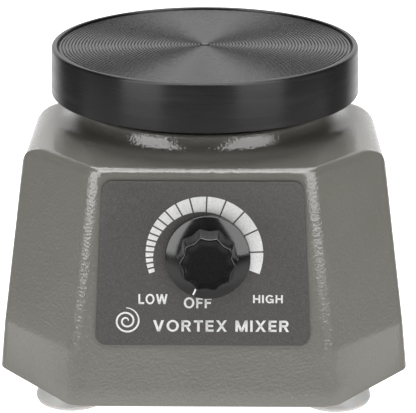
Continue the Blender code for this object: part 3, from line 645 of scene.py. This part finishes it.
def shoulder_rings(steps=12, corner_loss=0.3):
    """Rings up and over the edge of the deck, each facet with its own edge radius."""
    rings = []
    for i in range(steps + 1):
        rise = FLAT_LEAN + (math.pi / 2 - FLAT_LEAN) * i / steps
        distances, heights = [], []
        for facet, r in zip(FACETS, SHOULDERS):
            start = DECK_Z - r + r * math.sin(FLAT_LEAN)
            distances.append(at_height(facet, start) - r * (math.cos(FLAT_LEAN) - math.cos(rise)))
            heights.append(DECK_Z - r + r * math.sin(rise))
        radii = corner_radii(DECK_Z, i * corner_loss)
        rings.append(spread_evenly(facet_ring(distances, heights, radii)))
    return rings


def deck_and_fillet(deck_steps=26, fillet_steps=12, samples=400):
    """From shoulder to collar: a ball rolled round the collar's foot sets where the deck ends."""
    rings = [*shoulder_rings(), round_ring(CAVITY_RADIUS - 3.0, DECK_Z)]
    reach = np.array([ring[0] for ring in rings])
    height = np.array([ring[1] for ring in rings])
    share = np.linspace(0, len(rings) - 1, samples)
    middle = COLLAR_RADIUS + COLLAR_FILLET
    out_r = np.zeros((deck_steps + fillet_steps, HOUSING_STEPS))
    out_z = np.zeros_like(out_r)
    for j in range(HOUSING_STEPS):
        r = np.interp(share, range(len(reach)), reach[:, j])
        z = np.interp(share, range(len(reach)), height[:, j])
        ball = z + np.sqrt(np.clip(COLLAR_FILLET**2 - (r - middle) ** 2, 0, None))
        ball[np.abs(r - middle) > COLLAR_FILLET] = -math.inf
        touch = int(np.argmax(ball))
        run = np.concatenate([[0], np.cumsum(np.hypot(np.diff(r), np.diff(z)))])
        stops = np.linspace(0, run[touch], deck_steps)
        out_r[:deck_steps, j] = np.interp(stops, run, r)
        out_z[:deck_steps, j] = np.interp(stops, run, z)
        first = math.atan2(z[touch] - ball[touch], r[touch] - middle)
        turn = np.linspace(first, -math.pi, fillet_steps + 1)[1:]
        out_r[deck_steps:, j] = middle + COLLAR_FILLET * np.cos(turn)
        out_z[deck_steps:, j] = ball[touch] + COLLAR_FILLET * np.sin(turn)
    return out_r, out_z


def housing_shell():
    """The cast shell as one closed surface, from its lower edge over the collar and down inside."""
    rings = []
    for a in np.linspace(0, math.pi / 2, 5):
        z = HOUSING_BOTTOM + BOTTOM_EDGE * (1 - math.cos(a))
        rings.append(level_ring(z, BOTTOM_EDGE * (1 - math.sin(a))))
    bend = KINK_Z + np.linspace(-KINK_SOFTNESS, KINK_SOFTNESS, 5)
    rings += [level_ring(z) for z in (14.0, 20.0, *bend, 36.0, 46.0, 56.0, 66.0, 75.0)]
    rings += list(zip(*deck_and_fillet()))
    for a in np.linspace(0, math.pi / 2, 9):
        r = COLLAR_RADIUS - COLLAR_EDGE * (1 - math.cos(a))
        rings.append(round_ring(r, COLLAR_TOP - COLLAR_EDGE * (1 - math.sin(a))))
    rings.append(round_ring(36.0, COLLAR_TOP))
    rings.append(round_ring(OPENING_RADIUS + OPENING_EDGE, COLLAR_TOP))
    rings.append(round_ring(OPENING_RADIUS, COLLAR_TOP - OPENING_EDGE))
    rings.append(round_ring(OPENING_RADIUS, COLLAR_ROOF))
    rings.append(round_ring(CAVITY_RADIUS, COLLAR_ROOF))
    rings.append(round_ring(CAVITY_RADIUS, DECK_Z - WALL))
    rings.append(level_ring(DECK_Z - 11.0, WALL + 2.0))
    rings.append(level_ring(KINK_Z, WALL))
    rings.append(level_ring(HOUSING_BOTTOM, WALL))
    cos, sin = np.cos(EVEN_ANGLES), np.sin(EVEN_ANGLES)
    points = np.concatenate([np.stack([r * cos, r * sin, z], axis=1) for r, z in rings])
    return points.tolist(), grid_faces(len(rings), HOUSING_STEPS, True)


def inner_bosses():
    """Posts that the motor hangs from and lugs that the foot screws turn into, each with its hole."""
    hole, foot, top = 1.9, 78.0, COLLAR_ROOF + 0.5
    post = [(hole, foot), (4.6, foot), (5, foot + 0.4), (5, top), (hole, top)]
    base = box_mm("base_plate")[0].z + 2.3
    lug = [(hole, base), (5.6, base), (6.2, base + 0.6), (7.5, base + 11.4), (hole, base + 11.4)]
    shapes = [revolve(post, 24, upright_axis(f"mount_screw_{corner}")) for corner in CORNERS]
    shapes += [revolve(lug, 24, upright_axis(f"foot_screw_{corner}")) for corner in CORNERS]
    return merged(*shapes)


def drilled(obj, cutters):
    """The piece with holes cut through it by (points, faces) solids."""
    group = bpy.data.collections.new(obj.name + "_holes")
    for index, (points, faces) in enumerate(cutters):
        group.objects.link(bpy.data.objects.new(f"hole_{index}", clean_mesh("hole", points, faces)))
    boolean = obj.modifiers.new("holes", "BOOLEAN")
    boolean.operand_type = "COLLECTION"
    boolean.collection = group
    boolean.solver = "EXACT"
    bpy.context.view_layer.update()
    cut = bpy.data.meshes.new_from_object(obj.evaluated_get(bpy.context.evaluated_depsgraph_get()))
    obj.modifiers.remove(boolean)
    obj.data = cut
    for cutter in list(group.objects):
        bpy.data.objects.remove(cutter)
    bpy.data.collections.remove(group)


def rod(radius, low, high, place, steps=48):
    return revolve([(0, low), (radius, low), (radius, high), (0, high)], steps, place)


def housing(finish):
    points, faces = housing_shell()
    shell = add_mesh("housing_casting", points, faces, finish, "base")
    holes = [rod(5.2, -9, 4, KNOB_PLACE), rod(6.5, -9, 4, GLAND_PLACE)]
    for pin in ("guide_pin_1", "guide_pin_2", "guide_pin_3"):
        holes.append(rod(2.9, COLLAR_ROOF - 2, COLLAR_TOP + 1, upright_axis(pin)))
    drilled(shell, holes)
    shell.data.shade_smooth()
    shell.data.set_sharp_from_angle(angle=EDGE_ANGLE)
    points, faces = inner_bosses()
    add_mesh("housing_bosses", points, faces, finish, "base")
    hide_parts("housing")


# ---------------------------------------------------------------- panel


def joint_place(name):
    """A frame on a joint's axis: local Z points out of the face, and local Y up it."""
    joint = JOINTS[name]
    out = -Vector(joint["axis"]).normalized()
    side = Vector((1, 0, 0))
    up = out.cross(side)
    place = Matrix((side, up, out)).transposed().to_4x4()
    place.translation = Vector(joint["pos_m"]) / MM
    return place


KNOB_PLACE = joint_place("knob_turn")
PANEL_PLACE = KNOB_PLACE @ Matrix.Translation((-KNOB_PLACE.translation.x, 0, 0))
PLATE_FRONT = 1.1
PRINT_HEIGHT = 0.03
PLATE_TOP, PLATE_BOTTOM = 25.1, -31.4
PLATE_HALF_TOP, PLATE_HALF_BOTTOM = 33.5, 36.4
PLATE_CORNER = 3.6
GLAND_RISE = 0.14  # from where the gland's axis meets the wall up to the middle of its leaning box


def gland_place():
    """A frame on the gland's axis, which leans back with the rear face as the panel does in front."""
    height = sum(end.z for end in box_mm("cord_gland")) / 2 - GLAND_RISE
    reach = at_height(FLAT_FACETS, height)
    turn = Matrix.Rotation(math.pi, 4, "Z") @ Matrix.Rotation(math.pi / 2 - FLAT_LEAN, 4, "X")
    return Matrix.Translation((0, reach, height)) @ turn


GLAND_PLACE = gland_place()


def faceplate(finish):
    corners = [(-PLATE_HALF_BOTTOM, PLATE_BOTTOM), (PLATE_HALF_BOTTOM, PLATE_BOTTOM)]
    corners += [(PLATE_HALF_TOP, PLATE_TOP), (-PLATE_HALF_TOP, PLATE_TOP)]
    outline = soft_profile([(x, y, PLATE_CORNER) for x, y in corners], 12)
    layers = [(0.3, 0.0), (PLATE_FRONT - 0.25, 0.0), (PLATE_FRONT - 0.1, 0.08), (PLATE_FRONT, 0.25)]
    points, faces = extruded(outline, layers)
    plate = add_mesh("panel_plate", placed(points, PANEL_PLACE), faces, finish, "base")
    drilled(plate, [rod(5.4, -2, 4, KNOB_PLACE)])
    plate.data.set_sharp_from_angle(angle=EDGE_ANGLE)
    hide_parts("faceplate")


SCALE_OUTER = (0.55, 0.45, 19.65)  # centre x, y and radius of the printed scale's outer edge
SCALE_INNER = (-0.3, -1.4, 16.3)
SCALE_START = -110.9  # degrees clockwise from upright
SCALE_CELLS = 18
SCALE_NARROW = 5.6  # degrees that the first cells span
SCALE_GROWTH = 19.0  # degrees that the S-curve adds to the last ones
SCALE_MIDDLE = 11.2  # cell where half of that is added
SCALE_EASE = 2.0  # cells that set how gently it is added
SCALE_GAP = 0.55
PRINT_LAYERS = [(PLATE_FRONT, 0.0), (PLATE_FRONT + PRINT_HEIGHT, 0.0)]


def on_circle(circle, angle):
    """Where a ray from the scale's outer centre, at an angle clockwise from upright, meets a circle."""
    start = Vector(SCALE_OUTER[:2])
    ray = Vector((math.sin(angle), math.cos(angle)))
    offset = start - Vector(circle[:2])
    along = -offset.dot(ray) + math.sqrt(offset.dot(ray) ** 2 - offset.length_squared + circle[2] ** 2)
    return tuple(start + ray * along)


def add_print(name, points, faces, finish):
    add_mesh(name, placed(points, PANEL_PLACE), faces, finish, "base")


def dial_scale(finish):
    """White cells that widen round the dial along an S-curve, with thin dark gaps left between them."""
    shapes = []
    start = math.radians(SCALE_START)
    for cell in range(SCALE_CELLS):
        span = SCALE_NARROW + SCALE_GROWTH / (1 + math.exp((SCALE_MIDDLE - cell) / SCALE_EASE))
        end = start + math.radians(span)
        steps = max(3, round(span / 2))
        outline = []
        for circle in (SCALE_INNER, SCALE_OUTER):
            trim = SCALE_GAP / 2 / circle[2]
            low, high = start + trim, end - trim
            edge = [on_circle(circle, low + (high - low) * i / steps) for i in range(steps + 1)]
            outline += edge if circle is SCALE_INNER else list(reversed(edge))
        shapes.append(extruded(outline, PRINT_LAYERS))
        start = end
    add_print("dial_scale", *merged(*shapes), finish)


STROKE = 0.19  # stroke width of the letters, whose capitals stand 1 high
SLANT = 0.105  # half the level width of a sloping stroke


def bar(left, low, right, high):
    return [[(left, low), (right, low), (right, high), (left, high)]]


def slope(foot, head, low=0.0, high=1.0):
    """A sloping stroke cut level at its foot and head."""
    return [[(foot - SLANT, low), (foot + SLANT, low), (head + SLANT, high), (head - SLANT, high)]]


def bow(x, y, half_wide, half_high, start, end):
    """A curved stroke, in pieces of a half turn at most."""
    outlines, steps = [], 14
    pieces = math.ceil((end - start) / 180)
    for piece in range(pieces):
        shares = [(piece + i / steps) / pieces for i in range(steps + 1)]
        angles = [math.radians(start + (end - start) * share) for share in shares]
        outer = [(x + half_wide * math.cos(a), y + half_high * math.sin(a)) for a in angles]
        wide, high = half_wide - STROKE, half_high - STROKE * 0.92
        inner = [(x + wide * math.cos(a), y + high * math.sin(a)) for a in reversed(angles)]
        outlines.append(outer + inner)
    return outlines


STEM = bar(0, 0, STROKE, 1)
LETTERS = {
    "L": (0.60, STEM + bar(0, 0, 0.60, STROKE)),
    "O": (0.94, bow(0.47, 0.5, 0.47, 0.52, 0, 360)),
    "W": (1.22, slope(0.34, SLANT) + slope(0.34, 0.61) + slope(0.88, 0.61) + slope(0.88, 1.22 - SLANT)),
    "F": (0.60, STEM + bar(0, 1 - STROKE, 0.60, 1) + bar(0, 0.40, 0.55, 0.40 + STROKE)),
    "H": (0.78, STEM + bar(0.78 - STROKE, 0, 0.78, 1) + bar(0, 0.41, 0.78, 0.41 + STROKE)),
    "I": (STROKE, STEM),
    "G": (
        0.88,
        bow(0.45, 0.5, 0.45, 0.52, 38, 330) + bar(0.46, 0.36, 0.88, 0.53) + bar(0.70, 0, 0.88, 0.53),
    ),
    "V": (0.84, slope(0.42, SLANT) + slope(0.42, 0.84 - SLANT)),
    "T": (0.70, bar(0.35 - STROKE / 2, 0, 0.35 + STROKE / 2, 1) + bar(0, 1 - STROKE, 0.70, 1)),
    "E": (
        0.62,
        STEM
        + bar(0, 1 - STROKE, 0.62, 1)
        + bar(0, 0.41, 0.58, 0.41 + STROKE)
        + bar(0, 0, 0.62, STROKE),
    ),
    "X": (0.82, slope(SLANT, 0.82 - SLANT) + slope(0.82 - SLANT, SLANT)),
    "M": (0.94, STEM + bar(0.94 - STROKE, 0, 0.94, 1) + slope(0.47, SLANT) + slope(0.47, 0.94 - SLANT)),
    "R": (
        0.76,
        STEM
        + bar(0, 1 - STROKE, 0.44, 1)
        + bar(0, 0.40, 0.44, 0.40 + STROKE)
        + bow(0.44, 0.70, 0.28, 0.30, -90, 90)
        + slope(0.65, 0.42, 0.0, 0.45),
    ),
    " ": (0.26, []),
}


def lettering(name, words, x, y, width, height, finish, gap=0.16):
    """Generic words printed on the panel, centred at (x, y) and fitted to a width and height."""
    outlines, reach = [], 0.0
    for letter in words:
        wide, strokes = LETTERS[letter]
        outlines += [[(px + reach, py) for px, py in stroke] for stroke in strokes]
        reach += wide + gap
    grow = width / (reach - gap)
    shapes = []
    for outline in outlines:
        fitted = [(x - width / 2 + px * grow, y + (py - 0.5) * height) for px, py in outline]
        shapes.append(extruded(fitted, PRINT_LAYERS))
    add_print(name, *merged(*shapes), finish)


def swirl_mark(x, y, radius, finish):
    """A plain spiral ribbon, half as wide at its two ends, as a generic sign for stirring."""
    turns, width, inner, steps = 2.25, 0.62, 0.6, 96
    outline = []
    for side in (1, -1):
        edge = []
        for i in range(steps + 1):
            t = i / steps
            a = TURN * turns * t
            taper = width * min(1.0, 4 * t + 0.5, 4 * (1 - t) + 0.5) / 2
            r = inner + (radius - inner) * t + side * taper
            edge.append((x + r * math.cos(a), y + r * math.sin(a)))
        outline += edge if side == 1 else list(reversed(edge))
    points = [(px, py, PLATE_FRONT + z) for z in (0.0, PRINT_HEIGHT) for px, py in outline]
    total = len(outline)
    faces = []
    for i in range(steps):
        near, far = total - 1 - i, total - 2 - i
        faces.append((total + i, total + i + 1, total + far, total + near))
        faces.append((i + 1, i, near, far))
    for i in range(total):
        j = (i + 1) % total
        faces.append((i, j, total + j, total + i))
    add_print("swirl_mark", points, faces, finish)


def panel_print(finish):
    """The scale, the words and the sign, placed from the panel's middle at the height of the shaft."""
    dial_scale(finish)
    lettering("word_low", "LOW", -16.7, -15.15, 9.8, 3.5, finish)
    lettering("word_off", "OFF", -1.7, -16.4, 9.3, 3.7, finish)
    lettering("word_high", "HIGH", 21.9, -15.0, 10.0, 2.8, finish, 0.19)
    lettering("words_vortex_mixer", "VORTEX MIXER", 6.2, -24.45, 45.8, 3.95, finish, 0.2)
    swirl_mark(-25.7, -22.8, 4.6, finish)


# ---------------------------------------------------------------- knob

KNOB_SKIRT = 14.2
BEVEL_RADIUS = 9.6
BEVEL_TOP, BEVEL_BOTTOM = 6.5, 4.5
KNOB_TOP = 14.0
GRIP_RADIUS = 9.4
GRIP_EDGE = 0.6
FLUTES = 10
FLUTE_DEPTH = 1.06
GRIP_STEPS = FLUTES * 14
POINTER_ANGLE = math.radians(-90 - 21)  # left of straight down, over the word OFF


def fluted_ring(radius, z, depth):
    """A ring with hollow flutes between rounded lands."""
    soft = 0.22
    ring = []
    for i in range(GRIP_STEPS):
        a = TURN * i / GRIP_STEPS
        hollow = math.sqrt(math.sin(FLUTES * (a - POINTER_ANGLE) / 2) ** 2 + soft**2) - soft
        r = radius - depth * hollow
        ring.append((r * math.cos(a), r * math.sin(a), z))
    return ring


def knob(gloss, matt):
    base = PLATE_FRONT + 0.5
    skirt_corners = [(0, base, 0), (13.6, base, 0.3), (KNOB_SKIRT, base + 0.6, 0.3)]
    skirt_corners += [(KNOB_SKIRT, BEVEL_BOTTOM, 0.45), (BEVEL_RADIUS, BEVEL_TOP, 0), (0, BEVEL_TOP, 0)]
    skirt = revolve(soft_profile(skirt_corners, 6), 144)
    grip_layers = [(6.0, 10.5, 0.8), (6.6, 10.42, 1.0), (9.0, 10.05, 1.0), (12.0, 9.6, 1.0)]
    for a in np.linspace(0, math.pi / 2, 6):
        z = KNOB_TOP - GRIP_EDGE * (1 - math.sin(a))
        grip_layers.append((z, GRIP_RADIUS - GRIP_EDGE * (1 - math.cos(a)), 1.0))
    grip_layers += [(KNOB_TOP, 8.3, 0.9), (KNOB_TOP - 0.12, 7.8, 0.6), (KNOB_TOP - 0.15, 6.0, 0.0)]
    points = []
    for z, radius, share in grip_layers:
        points += fluted_ring(radius, z, FLUTE_DEPTH * share)
    faces = grid_faces(len(grip_layers), GRIP_STEPS, False)
    faces.append(tuple(reversed(range(GRIP_STEPS))))
    faces.append(tuple(range((len(grip_layers) - 1) * GRIP_STEPS, len(grip_layers) * GRIP_STEPS)))
    points, faces = merged(skirt, (points, faces))
    body = add_mesh("knob_moulding", placed(points, KNOB_PLACE), faces, gloss, "knob")
    body.data.materials.append(matt)
    out = KNOB_PLACE.to_3x3() @ Vector((0, 0, 1))
    face_height = (KNOB_TOP - 0.3) * MM
    origin = KNOB_PLACE.translation * MM
    for face in body.data.polygons:
        if (face.center - origin).dot(out) > face_height and face.normal.dot(out) > 0.9:
            face.material_index = 1
    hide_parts("knob")


def pointer(finish):
    """The white line on the knob's skirt, filled into it at the off position."""
    points, half = [], 0.28
    place = KNOB_PLACE @ Matrix.Rotation(POINTER_ANGLE, 4, "Z")
    for r in (10.6, 11.6, 12.6, 13.55):
        z = BEVEL_TOP - (r - BEVEL_RADIUS) * (BEVEL_TOP - BEVEL_BOTTOM) / (KNOB_SKIRT - BEVEL_RADIUS)
        points += [(r, side, z + lift) for side in (-half, half) for lift in (-0.12, 0.04)]
    faces = [(0, 1, 3, 2), (12, 14, 15, 13)]
    for i in range(3):
        here, there = i * 4, i * 4 + 4
        for a, b in ((0, 2), (2, 3), (3, 1), (1, 0)):
            faces.append((here + a, here + b, there + b, there + a))
    add_mesh("knob_pointer", placed(points, place), faces, finish, "knob")


# ---------------------------------------------------------------- platform, feet, gland


def platform(finish, side_finish):
    axis = Vector(JOINTS["head_orbit"]["pos_m"]) / MM
    floor = RIM_TOP - RIM_STEP
    profile = [(0, floor + 0.25), (0.8, floor + 0.25), (1.35, floor + 0.12), (1.5, floor - RIB_HEIGHT)]
    for i in range(RIB_COUNT):
        for share, height in RIB_SECTION:
            profile.append((FIRST_RIB + (i + share) * RIB_PITCH, floor - RIB_HEIGHT * (1 - height)))
    rim = [(RIM_RADIUS - 2.0, floor - RIB_HEIGHT, 0.0), (RIM_RADIUS - 1.9, RIM_TOP, 0.35)]
    rim += [(RIM_RADIUS, RIM_TOP, 0.9), (SKIRT_RADIUS, SKIRT_BOTTOM + 0.2, 0.35)]
    rim += [(SKIRT_RADIUS - 0.5, SKIRT_BOTTOM, 0.35), (CUP_RADIUS + 0.2, SKIRT_BOTTOM, 0.3)]
    rim += [(CUP_RADIUS, CUP_ROOF, 0.4), (0, CUP_ROOF, 0)]
    closed = soft_profile([(0, floor - 1, 0), *rim], 6)[1:]
    points, faces = revolve(profile + closed, 288, Matrix.Translation((axis.x, axis.y, 0)))
    soft_edge = math.radians(50)
    cover = add_mesh("platform_pad", points, faces, finish, "head", soft_edge)
    cover.data.materials.append(side_finish)
    for face in cover.data.polygons:
        spot = face.center / MM - axis
        face.material_index = int(math.hypot(spot.x, spot.y) > RIM_RADIUS - 1.6)
    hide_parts("platform_cover")


def feet(rubber, screw_finish):
    plate = box_mm("base_plate")[0].z - 0.3
    for corner in CORNERS:
        low, high = box_mm(f"foot_{corner}")
        r = (high.x - low.x) / 2
        corners = [(2.1, plate, 0), (8.5, plate, 0.2), (8.5, 6.6, 0), (r - 1.5, 6.6, 0.8)]
        corners += [(r, 1.4, 1.6), (r - 0.5, 0, 0.8), (r - 3.5, 0, 0.3), (r - 4.2, 0.5, 0.4)]
        corners += [(6.4, 0.5, 0.4), (5.9, 0, 0.3), (5.0, 0, 0.4), (5.0, 5.0, 0.3), (2.1, 5.0, 0)]
        place = upright_axis(f"foot_{corner}")
        points, faces = revolve(soft_profile(corners, 6), 96, place)
        foot = add_mesh(f"rubber_foot_{corner}", points, faces, rubber, "base")
        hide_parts(f"foot_{corner}")
        corners = [(0, 18, 0), (1.2, 18, 0), (1.6, 17.4, 0), (1.6, 4.7, 0.2), (4.0, 4.7, 0.3)]
        corners += [(4.0, 3.5, 0.8), (2.6, 2.6, 1.2), (0, 2.6, 0)]
        points, faces = revolve(soft_profile(corners, 5), 48, place)
        screw = add_mesh(f"screw_of_foot_{corner}", points, faces, screw_finish, "base")
        slot = [(x, y, z) for z in (1.5, 3.6) for x, y in ((-5, -0.5), (5, -0.5), (5, 0.5), (-5, 0.5))]
        sides = [(3, 2, 1, 0), (4, 5, 6, 7), (0, 1, 5, 4), (1, 2, 6, 5), (2, 3, 7, 6), (3, 0, 4, 7)]
        drilled(screw, [(placed(slot, place), sides)])
        screw.data.set_sharp_from_angle(angle=EDGE_ANGLE)
        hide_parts(f"foot_screw_{corner}")


def cord_gland(finish):
    """The gland: a round flange, a ribbed clamping nut and the open bore for the cord."""
    bore, sleeve, end, ribs = 4.2, 6.0, 11.16, 18
    corners = [(bore, end, 0.5), (5.7, end, 0.6), (6.2, end - 1.2, 0.8), (6.2, 5.3, 0.4)]
    corners += [(7.3, 4.6, 0.4), (7.3, 3.0, 0), (8.9, 2.6, 0.5), (8.9, 0.3, 0.2), (sleeve, 0.3, 0)]
    corners += [(sleeve, -9, 0.4), (bore, -9, 0.4)]
    shapes = [revolve(soft_profile(corners, 6), 96)]
    outline = [(sleeve, -0.42, 0), (6.58, -0.3, 0.12), (6.58, 0.3, 0.12), (sleeve, 0.42, 0)]
    points, faces = extruded(soft_profile(outline, 3), [(5.3, 0.0), (9.0, 0.0), (9.5, 0.1)])
    for i in range(ribs):
        shapes.append((placed(points, Matrix.Rotation(TURN * i / ribs, 4, "Z")), faces))
    points, faces = merged(*shapes)
    gland = add_mesh("gland_body", placed(points, GLAND_PLACE), faces, finish, "base")
    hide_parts("cord_gland")


# ---------------------------------------------------------------- carried-over CAD nodes


def dress_nodes(finishes):
    """Gives each CAD node that stays its finish, by the record's material slot."""
    for part in frame["record"]["subparts"]:
        node = NODES[part["node"]]
        node.data.materials.clear()
        node.data.materials.append(finishes[part["material_slot"]])


# ---------------------------------------------------------------- camera, floor and light


def add_light(name, size, place, target, power):
    light = bpy.data.lights.new(name, "AREA")
    light.shape = "RECTANGLE"
    light.size, light.size_y = size
    light.energy = power
    obj = bpy.data.objects.new(name, light)
    obj.location = place
    obj.rotation_euler = (Vector(target) - Vector(place)).to_track_quat("-Z", "Y").to_euler()
    bpy.context.scene.collection.objects.link(obj)
    return obj


def studio():
    """A glowing table and softboxes: three only reflect in the object, and one only lights it."""
    mesh = bpy.data.meshes.new("floor")
    shape = bmesh.new()
    bmesh.ops.create_grid(shape, x_segments=2, y_segments=2, size=4.0)
    shape.to_mesh(mesh)
    shape.free()
    mesh.materials.append(pale_floor())
    floor = bpy.data.objects.new("floor", mesh)
    bpy.context.scene.collection.objects.link(floor)
    floor.visible_glossy = False
    bright_backdrop()
    target = (0, 0, 0.06)
    add_light("softbox_above", (0.9, 0.6), (0.0, 0.3, 1.0), target, 7.5)
    high = add_light("softbox_front_high", (0.9, 0.5), (0.0, -0.3, 1.1), target, 9.0)
    high.visible_diffuse = False
    fill = add_light("fill_front", (1.0, 0.4), (0.0, -0.55, 1.15), target, 5.8)
    fill.visible_glossy = False
    away, up, tall = 1.05, 0.56, 1.3
    for name, turn, width in (("softbox_left", -45, 0.68), ("softbox_right", 40.5, 0.78)):
        place = (away * math.sin(math.radians(turn)), -away * math.cos(math.radians(turn)), up)
        softbox = add_light(name, (width, tall), place, target, 12.5)
        softbox.visible_diffuse = False


def ramp(nodes, links, source, from_min, from_max, to_min, to_max):
    """A soft step between two levels, driven by one component of the direction."""
    node = nodes.new("ShaderNodeMapRange")
    node.interpolation_type = "SMOOTHSTEP"
    for socket, number in zip(RANGE_SOCKETS, (from_min, from_max, to_min, to_max)):
        node.inputs[socket].default_value = number
    links.new(source, node.inputs["Value"])
    return node.outputs["Result"]


def combined(nodes, links, operation, first, second):
    """The sum or the product of two levels."""
    node = nodes.new("ShaderNodeMath")
    node.operation = operation
    links.new(first, node.inputs[0])
    links.new(second, node.inputs[1])
    return node.outputs["Value"]


def bright_backdrop():
    """A world that is bright behind the object and dark in front, with the lit table below."""
    world = bpy.data.worlds.new("studio")
    bpy.context.scene.world = world
    world.use_nodes = True
    nodes, links = world.node_tree.nodes, world.node_tree.links
    sky = nodes["Background"]
    sky.inputs["Color"].default_value = (1.0, 1.0, 1.0, 1.0)
    parts = nodes.new("ShaderNodeSeparateXYZ")
    links.new(nodes.new("ShaderNodeTexCoord").outputs["Generated"], parts.inputs[0])
    depth, height = parts.outputs["Y"], parts.outputs["Z"]
    behind = ramp(nodes, links, depth, 0.57, 0.88, 0.03, 1.07)
    table = ramp(nodes, links, height, -0.12, -0.31, 0.0, 1.0)
    for axis, numbers in ((depth, (0.05, 0.35, 1.0, 0.22)), (height, (-0.42, -0.7, 1.0, 0.5))):
        share = ramp(nodes, links, axis, *numbers)
        table = combined(nodes, links, "MULTIPLY", table, share)
    total = combined(nodes, links, "ADD", behind, table)
    links.new(total, sky.inputs["Strength"])


def camera():
    """The viewpoint: 63 cm in front of the shaft and 28 cm up, a shade right of the middle."""
    data = bpy.data.cameras.new("camera")
    data.sensor_width = 36.0
    data.lens = 156.2
    data.shift_x = 0.0075
    obj = bpy.data.objects.new("camera", data)
    obj.location = (0.0066, -0.6286, 0.2803)
    obj.rotation_euler = (math.radians(70.2), 0, math.radians(0.6))
    bpy.context.scene.collection.objects.link(obj)
    bpy.context.scene.camera = obj


def main():
    camera()
    studio()
    steel = machined("turned_steel", (0.46, 0.46, 0.47), (0.58, 0.58, 0.59), 0.32)
    nylon = moulded_plastic()
    finishes = {
        "housing_paint": hammered_paint(),
        "platform_rubber": platform_top_rubber(),
        "foot_rubber": foot_rubber(),
        "panel_print": panel_film(),
        "knob_plastic": knob_gloss(),
        "gland_plastic": nylon,
        "zinc_sheet": zinc_plate(),
        "steel": steel,
        "bearing_steel": machined("ground_steel", (0.60, 0.60, 0.62), (0.70, 0.70, 0.72), 0.18),
        "cast_aluminium": cast_aluminium(),
        "laminated_iron": laminations(),
        "winding_copper": winding(),
        "bush_bronze": porous_bronze(),
        "mount_rubber": mount_rubber(),
        "moulded_plastic": nylon,
        "circuit_board": circuit_board(),
        "film_capacitor": dipped_epoxy(),
        "lead_sleeve": braided_sleeve(),
    }
    dress_nodes(finishes)
    ink = white_ink()
    housing(finishes["housing_paint"])
    faceplate(finishes["panel_print"])
    panel_print(ink)
    knob(finishes["knob_plastic"], knob_matt())
    pointer(ink)
    platform(finishes["platform_rubber"], platform_side_rubber())
    feet(finishes["foot_rubber"], steel)
    cord_gland(nylon)
    bpy.context.scene.view_settings.view_transform = "Standard"


main()
